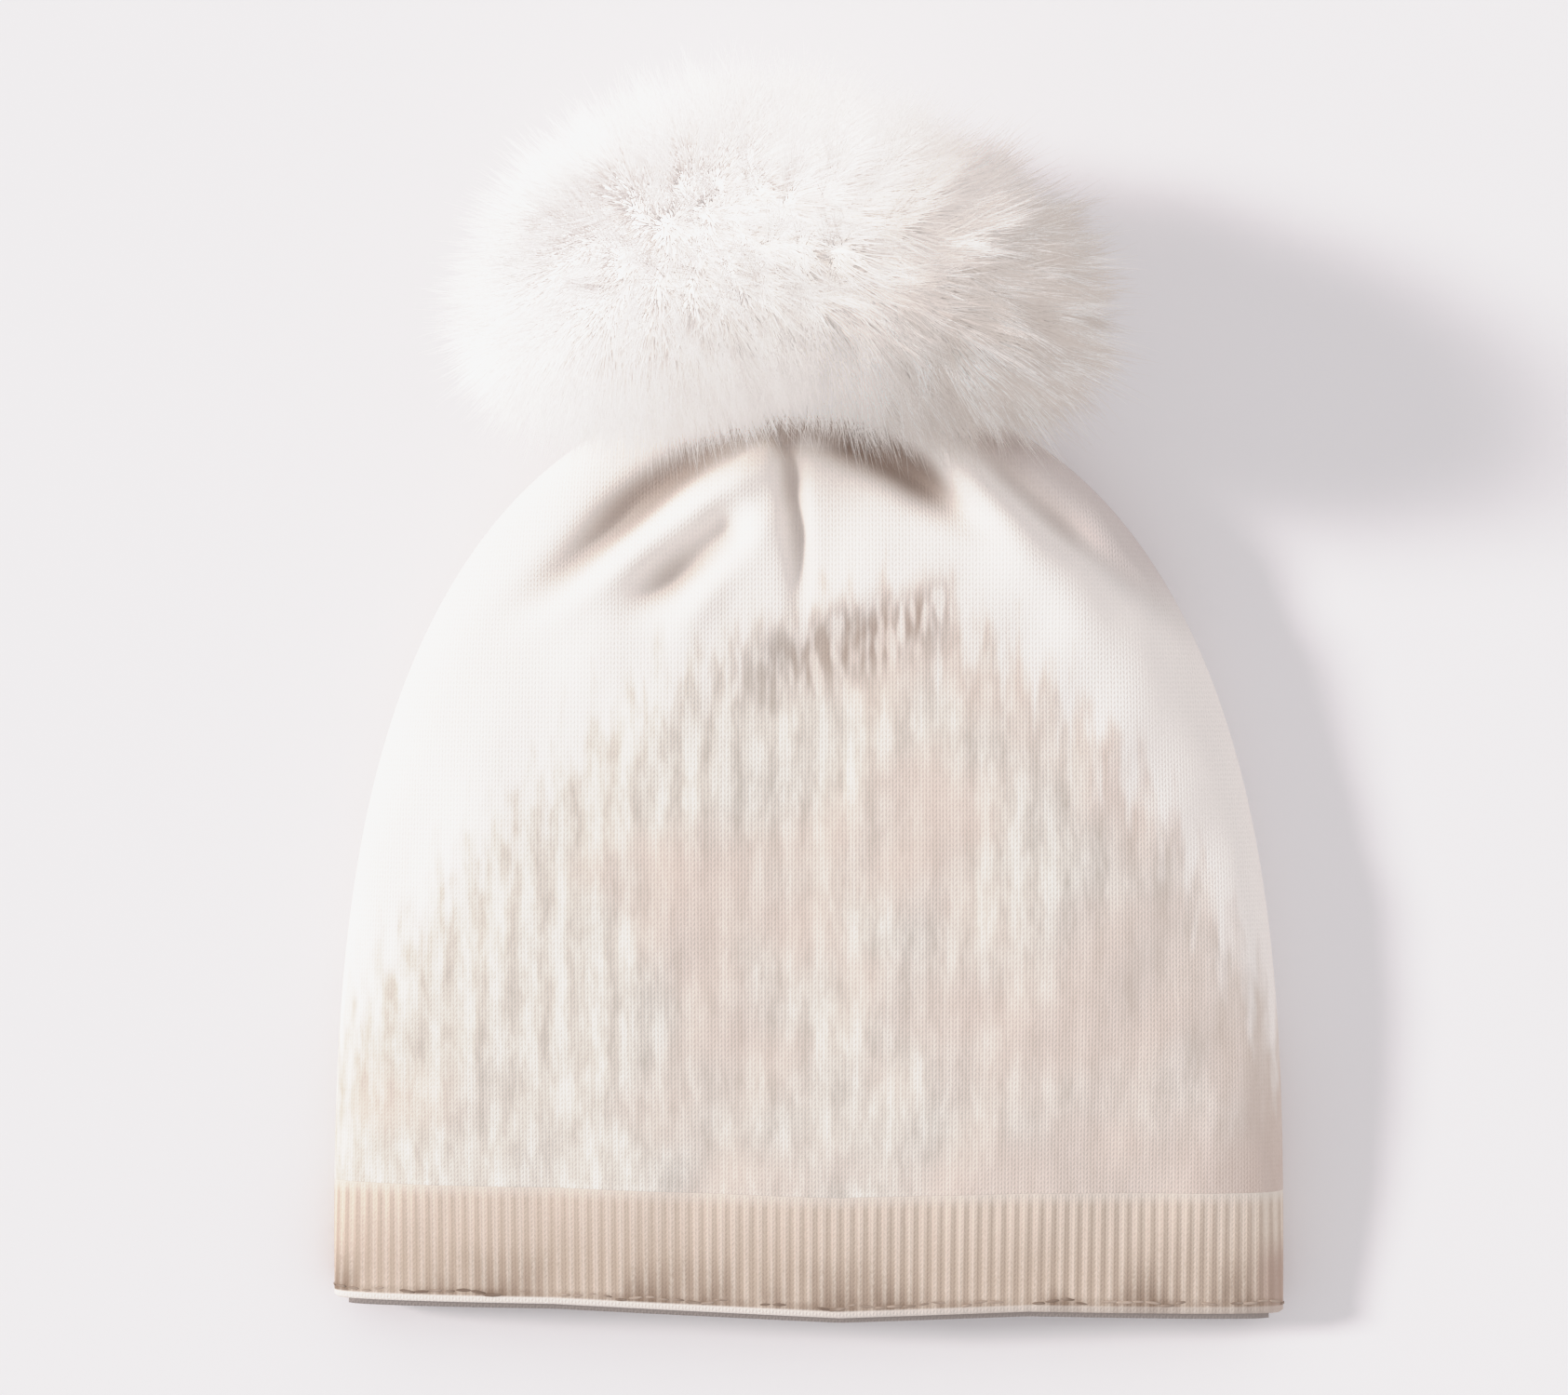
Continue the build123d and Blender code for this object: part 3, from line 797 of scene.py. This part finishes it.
def makeHemStitches():
    ring, spread = placedRing(hemStitch["height"], 0.00015, 0, hat["taperEnd"], 900)
    wobble = 0.00035 * np.sin(spread[:, 0] * 410) + 0.0003 * np.sin(spread[:, 0] * 1270 + 1)
    ring = ring + np.stack([0 * wobble, wobble, 0 * wobble], axis=1)
    ring[:, 2] = np.maximum(ring[:, 2], 0.0007)
    sizes = {key: value for key, value in hemStitch.items() if key != "height"}
    return stitchRow("hemStitches", ring[:-1], {**sizes, "Thread": hemThreadAndShade}, True)


hemStitches = makeHemStitches()
finishPiece(hemStitches, None, "hat", "thread", "hem_link_thread")

# Seams inside the hat: a linked ridge with stitches across it
seams = {"width": 0.0040, "thickness": 0.0007, "ridge": 0.00018}


def seamRidge(name, startY, endY, low):
    rows = int((endY - startY) / 0.0005)
    places = np.linspace(startY, endY, rows)
    across, above = np.tile([1.0, 0, 0], (rows, 1)), np.tile([0, 0, 1.0], (rows, 1))
    centres = np.stack([0 * places, places, np.full(rows, low + seams["thickness"] / 2)], axis=1)
    fromMiddle = np.abs(places - (startY + endY) / 2) / ((endY - startY) / 2 + 0.0001)
    ease = np.sqrt(np.clip(1 - fromMiddle ** 30, 0.04, 1))
    bar = roundedBar(seams["width"], seams["thickness"])
    wave = 1 + seams["ridge"] / seams["thickness"] * (np.sin(places * math.tau / 0.0021) - 1)
    outline = bar[None] * np.stack([ease, ease * wave], axis=1)[:, None]
    return carried(name, centres, across, above, outline)


for name, node in (("backSeamRidge", "back_seam"), ("liningSeamRidge", "lining_seam")):
    low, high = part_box(node)
    seam = seamRidge(name, low.y, high.y, low.z)
    finishPiece(seam, threadMaterial(name, srgb(238, 230, 220), srgb(206, 193, 180), 700.0), "hat", "thread", node)

# Darts: the folds of knit sewn off inside the crown, following the pressed cloth
darts = {"thickness": 0.0016, "depth": 0.0026, "rows": 40, "clear": 0.0023}


def dartPiece(name, node, corner):
    low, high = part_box(node)
    places = np.linspace(low.y - hemY, high.y - hemY, darts["rows"])
    centres, sides, ups, outline = [], [], [], []
    for share, y in zip(np.linspace(0, 1, darts["rows"]), places):
        ring = placedRing(y, darts["clear"], 0, hat["taperEnd"], 600)[0]
        index = {"front": np.argmin(np.abs(ring[:, 0]) + (ring[:, 2] < 0.015)), "back": 0,
                 "right": np.argmax(ring[:, 0]), "left": np.argmin(ring[:, 0])}[corner]
        inward = {"front": (0, 0, -1), "back": (0, 0, 1), "right": (-1, 0, 0), "left": (1, 0, 0)}[corner]
        depth = darts["depth"] * (0.25 + 0.75 * math.sin(math.pi * (0.05 + 0.9 * share)))
        centres.append(ring[index] + np.array(inward) * depth / 2)
        sides.append((1, 0, 0) if corner in ("front", "back") else (0, 0, 1))
        ups.append(inward)
        outline.append(roundedBar(darts["thickness"], depth))
    return carried(name, centres, sides, ups, np.array(outline))


dartKnit = threadMaterial("dartKnit", srgb(244, 238, 231), srgb(222, 211, 201), 600.0)
for corner in ("front", "back", "left", "right"):
    dart = dartPiece(corner + "DartFold", corner + "_dart", corner)
    finishPiece(dart, dartKnit, "hat", "pattern_knit", corner + "_dart")
print("stage: stitches, seams and darts")


# Labels: thin woven sheets, each lying on the lining
def labelSheet(name, node, wave):
    low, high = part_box(node)
    across, along, thick = 84, 48, high.z - low.z
    vertices, faces = [], []
    for layer in (0, 1):
        for row in range(along + 1):
            for step in range(across + 1):
                x = low.x + (high.x - low.x) * step / across
                y = low.y + (high.y - low.y) * row / along
                lift = wave * (math.sin(x * 190 + 1) + math.sin(y * 260)) * 0.5
                vertices.append((x, y, low.z + layer * thick * 0.9 + max(0, lift)))
    stride, sheetSize = across + 1, (across + 1) * (along + 1)
    for row in range(along):
        for step in range(across):
            here = row * stride + step
            faces.append((here, here + stride, here + stride + 1, here + 1))
            faces.append(tuple(sheetSize + place for place in (here, here + 1, here + stride + 1, here + stride)))
    rim = [step for step in range(across)] + [row * stride + across for row in range(along)]
    rim += [along * stride + step for step in range(across, 0, -1)] + [row * stride for row in range(along, 0, -1)]
    for place, here in enumerate(rim):
        following = rim[(place + 1) % len(rim)]
        faces.append((here, following, following + sheetSize, here + sheetSize))
    mesh = bpy.data.meshes.new(name)
    mesh.from_pydata(vertices, [], faces)
    turnOutward(mesh)
    return placeMesh(name, mesh), (high.x - low.x, high.y - low.y)


def labelMaterial(name, ground, line):
    material, board, shader = newMaterial(name, Roughness=0.55)
    place = board.apart(board.place())
    warp = (place.out("X") * math.tau / 0.00042).math("SINE") * 0.5 + 0.5
    weft = (place.out("Y") * math.tau / 0.00036).math("SINE") * 0.5 + 0.5
    weave = warp * weft
    plug(board, board.mix(weave.ramp(0.0, 0.8), line, ground), shader, "Base Color")
    roughen(board, shader, 0.5, 0.0001, weave)
    return material


wovenLabel, labelFlat = labelSheet("wovenLabelCloth", "woven_label", 0.0)
labelSatin = labelMaterial("labelSatin", srgb(236, 228, 217), srgb(204, 192, 178))
finishPiece(wovenLabel, labelSatin, "hat", "label", "woven_label")
careLabel, careFlat = labelSheet("careLabelCloth", "care_label", 0.0003)
careSatin = labelMaterial("careSatin", srgb(246, 244, 240), srgb(224, 219, 212))
finishPiece(careLabel, careSatin, "care_tag", "label", "care_label")
low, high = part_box("label_stitches")
rimInset = 0.0003
left, right, front, back = low.x + rimInset, high.x - rimInset, low.y + rimInset, high.y - rimInset
labelRim = [(left, front), (right, front), (right, back), (left, back)]
labelSewing = stitchRow("labelSewing", [(x, y, low.z + 0.0001) for x, y in labelRim], {
    "Spacing": 0.0020, "Length": 0.0016, "Thick": 0.0003, "Missing": 0.0, "Seed": 3, "Thread": paleThread}, True)
finishPiece(labelSewing, None, "hat", "thread", "label_stitches")
print("stage: labels")

# The crown's gathers, and after them the two drawn threads and the felt
gather = {"radius": 0.0082, "half": 0.0045, "pleats": 22, "pleatDepth": 0.00045}


def makeGather():
    def pleat(along, angle):
        wave = math.sin(angle * gather["pleats"] + 0.6 * math.sin(angle * 5)) - 1
        return gather["pleatDepth"] * wave * (1 if abs(along) < 0.0046 else 0)
    places = [math.sin(step) * gather["radius"] for step in np.linspace(-0.58, 0.58, 19)]
    profile = [(-gather["half"], 0.0016), (-gather["half"], 0.004)]
    profile += [
        (place, math.sqrt(gather["radius"] ** 2 - place ** 2)) for place in places if abs(place) <= gather["half"]]
    profile += [(gather["half"], 0.004), (gather["half"], 0.0016)]
    return turnedShape("gatheredKnit", profile, 176, pleat)


gathered = makeGather()
gatherKnit = threadMaterial("gatherKnit", srgb(244, 238, 231), srgb(218, 206, 196), 800.0)
finishPiece(gathered, gatherKnit, "stud", "pattern_knit", "crown_gather")


yarn = {"thick": 0.0004}
for name, node, rider in (("crownYarn", "crown_draw_thread", "crown_tip"), ("pomYarn", "pom_draw_thread", "pom")):
    low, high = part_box(node)
    along = ((low + high) / 2 - pivot).dot(studAxis)
    drawnYarn = yarnRing(name, along, (high.x - low.x) / 2 - yarn["thick"], yarn["thick"])
    finishPiece(drawnYarn, paleThread, rider, "thread", node)

feltPatch = turnedShape("feltPatch", [
    (-0.00545, 0.0015), (-0.00545, 0.0054), (-0.00535, 0.0057), (-0.0051, 0.0059), (-0.0048, 0.0059),
    (-0.0046, 0.0056), (-0.00455, 0.0015)],
    96, lambda along, angle: 0.00008 * math.sin(angle * 9) + 0.00004 * math.sin(angle * 31))
feltWool = threadMaterial("feltWool", srgb(226, 219, 211), srgb(196, 187, 178), 1100.0)
finishPiece(feltPatch, feltWool, "stud", "felt", "crown_patch")

# The pelt: hide drawn into a ball over its disc, and the wadding that fills it
pelt = {"radius": 0.0220, "centre": 0.0300, "wall": 0.0014, "base": 0.0098, "folds": 18, "foldDepth": 0.0005}


def makePelt():
    size = pelt

    def folded(along, angle):
        near = max(0.0, 1 - (along - size["base"]) / 0.012)
        return size["foldDepth"] * near * (math.sin(angle * size["folds"] + math.sin(angle * 3)) - 1)
    outer = [(size["base"], radius) for radius in (0.0026, 0.006)]
    inner = [(size["base"] + size["wall"], radius) for radius in (0.0026, 0.006)]
    for wall, side in ((0, outer), (size["wall"], inner)):
        radius = size["radius"] - wall
        low = size["base"] + wall - size["centre"]
        start = math.asin(low / radius)
        for angle in np.linspace(start, math.pi / 2, 46):
            side.append((size["centre"] + radius * math.sin(angle), radius * math.cos(angle)))
    return turnedShape("peltHide", outer + inner[::-1], 120, folded)


def hideMaterial():
    material, board, shader = newMaterial("softHide", Roughness=0.7)
    place = board.place()
    grain = board.add("ShaderNodeTexVoronoi", None, {"Vector": place, "Scale": 900.0})
    patch = board.noise(place, 120.0, 3.0)
    plug(board, board.mix(patch.ramp(0.3, 0.7), srgb(226, 209, 188), srgb(240, 228, 212)), shader, "Base Color")
    roughen(board, shader, 0.4, 0.0002, grain)
    return material


peltHide = makePelt()
finishPiece(peltHide, hideMaterial(), "pom", "hide", "pom_pelt")

wadding = {"start": 0.0188, "reach": 0.0203, "voxel": 0.0022, "pressure": 4.0, "frames": 20, "clear": 0.0146,
           "furthest": 0.0016, "lump": 0.0006, "lumpSize": 9.0}


# Fibre wadding: a lumpy ball; the cloth simulation swells it only very slightly
def makeWadding():
    size = wadding
    centre = pelt["centre"]
    steps = np.linspace(-math.pi / 2 + 0.55, math.pi / 2, 24)
    hollow = [(size["clear"], 0.0002), (size["clear"], 0.0089), (size["clear"], 0.0093)]
    profile = hollow + [(centre + size["start"] * math.sin(step), size["start"] * math.cos(step)) for step in steps]
    ball = turnedShape("wadding", [pair for pair in profile if pair[0] >= size["clear"]], 48)
    remesh = ball.modifiers.new("voxels", "REMESH")
    remesh.mode = "VOXEL"
    remesh.voxel_size = size["voxel"]
    bpy.context.view_layer.update()
    mesh = bpy.data.meshes.new_from_object(ball.evaluated_get(bpy.context.evaluated_depsgraph_get()))
    ball.modifiers.clear()
    ball.data = mesh
    start = getPoints(mesh)
    cloth = ball.modifiers.new("swell", "CLOTH")
    cloth.settings.use_pressure = True
    cloth.settings.uniform_pressure_force = size["pressure"]
    cloth.settings.effector_weights.gravity = 0
    cloth.point_cache.frame_end = size["frames"]
    for frameNumber in range(1, size["frames"] + 1):
        bpy.context.scene.frame_set(frameNumber)
    swollen = bpy.data.meshes.new_from_object(ball.evaluated_get(bpy.context.evaluated_depsgraph_get()))
    points = getPoints(swollen)
    ball.modifiers.clear()
    bpy.context.scene.frame_set(1)
    move = points - start
    far = np.linalg.norm(move, axis=1, keepdims=True)
    points = start + move * np.minimum(1, size["furthest"] / np.maximum(far, 1e-9))
    middle = np.array(pivot + studAxis * centre)
    reach = np.linalg.norm(points - middle, axis=1, keepdims=True)
    lumps = softWaves(points[:, 0] * 1000, points[:, 1] * 1000 + points[:, 2] * 700, size["lumpSize"], 31)
    lumps = size["lump"] * lumps
    points = middle + (points - middle) / reach * np.minimum(reach + lumps[:, None] - 0.0004, size["reach"])
    along = (points - pivotPoint) @ studWay
    points = points + np.outer(np.maximum(0, size["clear"] - along), studWay)
    setPoints(ball.data, points)
    finer = ball.modifiers.new("finer", "SUBSURF")
    finer.levels = 1
    finer.render_levels = 1
    return ball


wad = makeWadding()
wad.data.polygons.foreach_set("use_smooth", np.ones(len(wad.data.polygons), bool))
fibreWad = threadMaterial("fibreWad", srgb(250, 249, 247), srgb(228, 226, 222), 500.0)
finishPiece(wad, fibreWad, "pom", "filling", "pom_filling")
print("stage: gathers, pelt and wadding")


# Metal and plastic of the press stud, kept as the model has them
def nickelMaterial():
    material, board, shader = newMaterial("brushedNickel", Metallic=1.0)
    place = board.place()
    wear = board.noise(place, 700.0, 4.0)
    plug(board, wear.ramp(0.3, 0.7, 0.22, 0.42), shader, "Roughness")
    plug(board, board.mix(wear.ramp(0.4, 0.8), srgb(206, 202, 194), srgb(178, 173, 165)), shader, "Base Color")
    roughen(board, shader, 0.1, 0.00005, wear)
    return material


def plasticMaterial():
    material, board, shader = newMaterial("mouldedPlastic")
    place = board.place()
    speckle = board.noise(place, 1500.0, 2.0)
    plug(board, speckle.ramp(0.3, 0.7, 0.38, 0.5), shader, "Roughness")
    plug(board, board.mix(speckle.ramp(0.3, 0.7), srgb(232, 229, 222), srgb(238, 236, 231)), shader, "Base Color")
    return material


nickel, plastic = nickelMaterial(), plasticMaterial()
for node, material in (("stud_cap", nickel), ("snap_stud", nickel), ("snap_spring", nickel), ("snap_socket", nickel),
                       ("socket_cap", nickel), ("pom_base_disc", plastic)):
    kept = frame["nodes"][node]
    if kept.material_slots:
        kept.material_slots[0].material = material
    else:
        kept.data.materials.append(material)
print("stage: press stud finishes")

# The fur: a soft mound of underfur, and piles of tapering hairs grown from it
fur = {
    "middle": (-0.0055, 0.0860, 0.0430), "side": 0.0605, "ahead": 0.0420, "behind": 0.0098, "up": 0.0345,
    "rows": 100, "around": 170, "lump": 0.0011, "hairs": 7100, "perHair": 4, "lock": 0.34, "droop": 0.10,
    "whorl": (-0.082, 0.170, 0.0), "coneStart": 0.0090, "coneAngle": 12.0,
}
pileInputs = ("Seed", "Shortest", "Longest", "Thick", "Lift")
furPiles = [dict(zip(pileInputs, row)) for row in (
    (11, 0.007, 0.012, 0.00017, 0.14), (12, 0.008, 0.013, 0.00016, 0.16), (13, 0.009, 0.014, 0.00015, 0.18),
    (14, 0.010, 0.015, 0.00014, 0.22), (15, 0.010, 0.016, 0.00013, 0.28), (16, 0.011, 0.017, 0.00012, 0.36),
    (17, 0.012, 0.018, 0.00011, 0.48), (18, 0.013, 0.021, 0.00010, 0.62),
)]


# Height of the hat's crown above the table under a point, or zero beside it
def crownTop(x, y):
    fromHem = y - hemY
    reach = np.clip(fromHem, 0, hat["crownEnd"])
    halfWidth = hat["width"] / 2 * (1 - (reach / hat["taperEnd"]) ** 3) ** (1 / 2.3)
    lift = hat["crownLift"] * (np.maximum(0, reach - hat["liftStart"]) / (hat["crownEnd"] - hat["liftStart"])) ** 2
    middle = lift + hat["hemHeight"] * 0.45 + 0.0025 * reach / hat["crownEnd"]
    bulge = np.maximum(0, 1 - np.abs(x / halfWidth) ** hat["flatness"]) ** (1 / hat["flatness"])
    height = middle + (topHeight(reach) - middle) * bulge
    return np.where((np.abs(x) < halfWidth) & (fromHem < hat["crownEnd"] + 0.0012), height, 0)


# Moves points out of the crown, the table and the hollow in front of the press stud
def keepClear(points, gap):
    x, y, z = points.T
    height = crownTop(x, y)
    within = (height > 0) & (z < height + gap)
    behind = within & (z < height * 0.72)
    y = np.where(behind, hemY + hat["crownEnd"] + 0.0013 + gap, y)
    z = np.where(within & ~behind, height + gap, z)
    kept = np.stack([x, y, z], axis=1) - pivotPoint
    along, above, aside = kept @ studWay, kept @ upWay, kept @ acrossWay
    away = np.hypot(above, aside)
    share = np.maximum(smoothStep((0.012 - above) / 0.012), smoothStep((0.016 - away) / 0.004))
    cone = fur["coneStart"] + 0.0009 + away * math.tan(math.radians(fur["coneAngle"]))
    kept = kept + np.outer(np.maximum(0, cone - along) * share, studWay) + pivotPoint
    kept[:, 2] = np.maximum(kept[:, 2], gap + 0.0002)
    return kept


def makeUnderfur():
    size = fur
    rows, around = size["rows"], size["around"]
    level = np.linspace(0, math.pi, rows + 1)[1:-1, None]
    turn = np.linspace(0, math.tau, around, endpoint=False)[None]
    dx, dy, dz = np.cos(level), np.sin(level) * np.cos(turn), np.sin(level) * np.sin(turn)
    dx = dx + 0 * dy
    ahead = size["ahead"] - 0.006 * smoothStep(dx * 0.7 + 0.25)
    forward = dy > 0
    power = np.where(forward, 2.0, 3.4)
    behind = size["behind"] + 0.0095 * dx ** 2
    plan = np.abs(dx / size["side"]) ** power + np.abs(dy / np.where(forward, ahead, behind)) ** power
    plan = plan ** (1 / power)
    radius = 1 / (plan ** 2.4 + np.abs(dz / size["up"]) ** 2.4) ** (1 / 2.4)
    lumps = softWaves(dx * 60, dy * 60 + dz * 35, 15.0, 21, 9) + softWaves(dz * 60 - dy * 30, dx * 60, 10.0, 22, 9)
    radius = radius + size["lump"] * lumps
    middle = np.array(size["middle"])
    points = np.stack([dx * radius, dy * radius, dz * radius], axis=2).reshape(-1, 3) + middle
    ends = np.array([[size["side"], 0, 0], [-size["side"], 0, 0]]) + middle
    points = keepClear(np.concatenate([points, ends]), 0.0012)
    first, last = len(points) - 2, len(points) - 1
    faces = []
    for row in range(rows - 2):
        for step in range(around):
            here, following = row * around + step, row * around + (step + 1) % around
            faces.append((here, here + around, following + around, following))
    for step in range(around):
        following = (step + 1) % around
        faces.append((first, step, following))
        base = (rows - 2) * around
        faces.append((last, base + following, base + step))
    mesh = bpy.data.meshes.new("underfur")
    mesh.from_pydata(points.tolist(), [], faces)
    turnOutward(mesh)
    return placeMesh("underfur", mesh)


# Rises across the pom pom from the window side to the lower right
def acrossPom(spot, *limits):
    return (spot.out("X") - (spot.out("Y") - fur["middle"][1]) * 0.5).ramp(*limits)


# Painted glow: emission that stands in for light scattered inside the pile, brighter on the side towards the window
# and dim where the lower right has painted shade
def furGlow(board, spot, lowRightShade):
    lit = (spot.out("Y") - fur["middle"][1] - spot.out("X") * 0.6).ramp(0.0, 0.040)
    glow = board.mix(lit, (0.46, 0.42, 0.40, 1.0), (0.74, 0.67, 0.655, 1.0))
    return board.mix(lowRightShade, glow, (0.22, 0.205, 0.195, 1.0))


def furMaterial():
    # the pile's emission is a painted glow, coloured by furGlow
    material, board, shader = newMaterial("whitePile", Roughness=0.6, Specular_IOR_Level=0.2, Emission_Strength=0.5)
    along = board.kept("along", 2)
    tint = board.kept("tint", 2)
    nap = board.kept("nap", 1)
    colour = board.mix(along.ramp(0.0, 0.6), srgb(245, 238, 232), srgb(252, 249, 246))
    colour = board.mix(tint.ramp(0.6, 1.0, 0.0, 0.35), colour, srgb(234, 223, 212))
    spot = board.apart(board.kept("root", 1))
    lowRightShade = acrossPom(spot, -0.014, 0.038)
    locks = board.noise(board.kept("root", 1), 210.0)
    # painted shade on the lower right of the pom pom, away from the window, broken by lighter locks
    colour = board.mix(lowRightShade * (1 - locks.ramp(0.50, 0.62)) * 0.90, colour, srgb(214, 200, 190))
    plug(board, colour, shader, "Base Color")
    plug(board, furGlow(board, spot, lowRightShade), shader, "Emission Color")
    toWorld = {"vector_type": "NORMAL", "convert_from": "OBJECT", "convert_to": "WORLD"}
    turned = board.add("ShaderNodeVectorTransform", toWorld, [nap])
    own = board.add("ShaderNodeNewGeometry").out("Normal")
    soft = turned.vector("ADD", own.scaled(0.9)).vector("ADD", (0.0, 0.0, 0.7)).vector("NORMALIZE")
    plug(board, soft, shader, "Normal")
    return material


def underfurMaterial():
    # the underfur's emission is a painted glow, coloured by furGlow
    material, board, shader = newMaterial("underfur", Roughness=0.9, Specular_IOR_Level=0.1, Emission_Strength=0.5)
    place = board.place()
    fluff = board.noise(place, 420.0, 3.0)
    colour = board.mix(fluff.ramp(0.3, 0.7), srgb(240, 232, 224), srgb(251, 248, 245))
    spot = board.apart(place)
    lowRightShade = acrossPom(spot, -0.014, 0.038)
    # painted shade on the lower right of the underfur, away from the window
    colour = board.mix(lowRightShade * 0.9, colour, srgb(206, 191, 180))
    plug(board, colour, shader, "Base Color")
    plug(board, furGlow(board, spot, lowRightShade), shader, "Emission Color")
    roughen(board, shader, 0.5, 0.0006, fluff)
    return material


def furTree(material):
    sizes = {"Seed": 1, "Hairs": 1.0, "Shortest": 0.5, "Longest": 1.0, "Thick": 0.0003, "Lift": 0.5, "Pile": material}
    tree, board, wires = growthTree("furGrowth", sizes)
    scattered = board.add("GeometryNodeDistributePointsOnFaces", None, {
        "Mesh": wires["Geometry"], "Density": wires["Hairs"], "Seed": wires["Seed"]})
    nap = scattered.out("Normal")
    root = board.add("GeometryNodeInputPosition")
    outward = root.vector("SUBTRACT", fur["middle"]).vector("MULTIPLY", (8.0, 8.0, 3.0))
    drift = root.vector("SUBTRACT", fur["whorl"]).vector("MULTIPLY", (5.0, 5.0, 0.0))
    tuft = board.noise(root, 95.0, 1.0, "Color")
    spot = board.apart(root)
    ragged = acrossPom(spot, -0.030, 0.030, 0.12, 1.0)
    tuft = tuft.vector("SUBTRACT", (0.5, 0.5, 0.5)).scaled(ragged * 0.9)
    loose = board.noise(root, 800.0, 0.0, "Color")
    loose = loose.vector("SUBTRACT", (0.5, 0.5, 0.5)).scaled(0.5)
    aim = outward.vector("ADD", drift).vector("ADD", tuft).vector("ADD", loose)
    aim = aim.vector("ADD", nap.scaled(wires["Lift"] * 2.0)).vector("NORMALIZE")
    chance = board.chance(0.0, 1.0, wires["Seed"])
    reach = wires["Shortest"] + (wires["Longest"] - wires["Shortest"]) * chance
    tint = board.chance(0.0, 1.0, 77)
    points = scattered
    for name, kind, wire in (("root", "FLOAT_VECTOR", root), ("nap", "FLOAT_VECTOR", nap), ("reach", "FLOAT", reach),
                             ("tint", "FLOAT", tint)):
        points = board.add("GeometryNodeStoreNamedAttribute", {"data_type": kind, "domain": "POINT"}, {
            "Geometry": points, "Name": name, "Value": wire})
    hair = board.add("GeometryNodeMeshCone", {"fill_type": "NGON"}, {
        "Vertices": 3, "Side Segments": fur["perHair"], "Radius Top": 0.08, "Radius Bottom": 1.0, "Depth": 1.0})
    height = board.apart(board.add("GeometryNodeInputPosition")).out("Z")
    hair = board.add("GeometryNodeStoreNamedAttribute", {"data_type": "FLOAT", "domain": "POINT"}, {
        "Geometry": hair, "Name": "along", "Value": height})
    turn = board.add("FunctionNodeAlignRotationToVector", {"axis": "Z"}, {"Vector": aim})
    grown = board.add("GeometryNodeInstanceOnPoints", None, {
        "Points": points, "Instance": hair, "Rotation": turn,
        "Scale": board.point(wires["Thick"], wires["Thick"], reach)})
    grown = board.add("GeometryNodeRealizeInstances", None, [grown])

    def field(name, kind):
        return board.add("GeometryNodeInputNamedAttribute", {"data_type": kind}, {"Name": name})
    along, rootAt, length = field("along", "FLOAT"), field("root", "FLOAT_VECTOR"), field("reach", "FLOAT")
    sway = board.noise(rootAt, 150.0, 1.0, "Color")
    spot = board.apart(rootAt)
    ragged = acrossPom(spot, -0.030, 0.030, 0.12, 1.0)
    sway = sway.vector("SUBTRACT", (0.5, 0.5, 0.5)).scaled(ragged * fur["lock"] * 4)
    pull = sway.vector("ADD", (0.0, 0.0, -fur["droop"]))
    offset = pull.scaled((along ** 1.8) * length)
    moved = board.add("GeometryNodeSetPosition", None, {"Geometry": grown, "Offset": offset})
    endTree(board, moved, wires["Pile"])
    return tree


def makeFur():
    pileMaterial = furMaterial()
    underfur = makeUnderfur()
    area = sum(face.area for face in underfur.data.polygons)
    tree = furTree(pileMaterial)
    pieces = []
    for count, pile in enumerate(furPiles, 1):
        sizes = {**pile, "Hairs": fur["hairs"] / area, "Pile": pileMaterial}
        piece = grow(f"furPile{count}", underfur, tree, sizes)
        setPoints(piece.data, keepClear(getPoints(piece.data), 0.0004))
        # light passes on through thin hairs, so only the outer pile casts the soft shadow
        piece.visible_shadow = count == len(furPiles)
        piece.visible_diffuse = False
        pieces.append(piece)
    underfur.data.materials.append(underfurMaterial())
    return [underfur] + pieces


furPieces = makeFur()
for piece in furPieces:
    finishPiece(piece, None, "pom", "fur", "pom_fur")
print("stage: fur", [sum(len(face.vertices) - 2 for face in piece.data.polygons) for piece in furPieces])
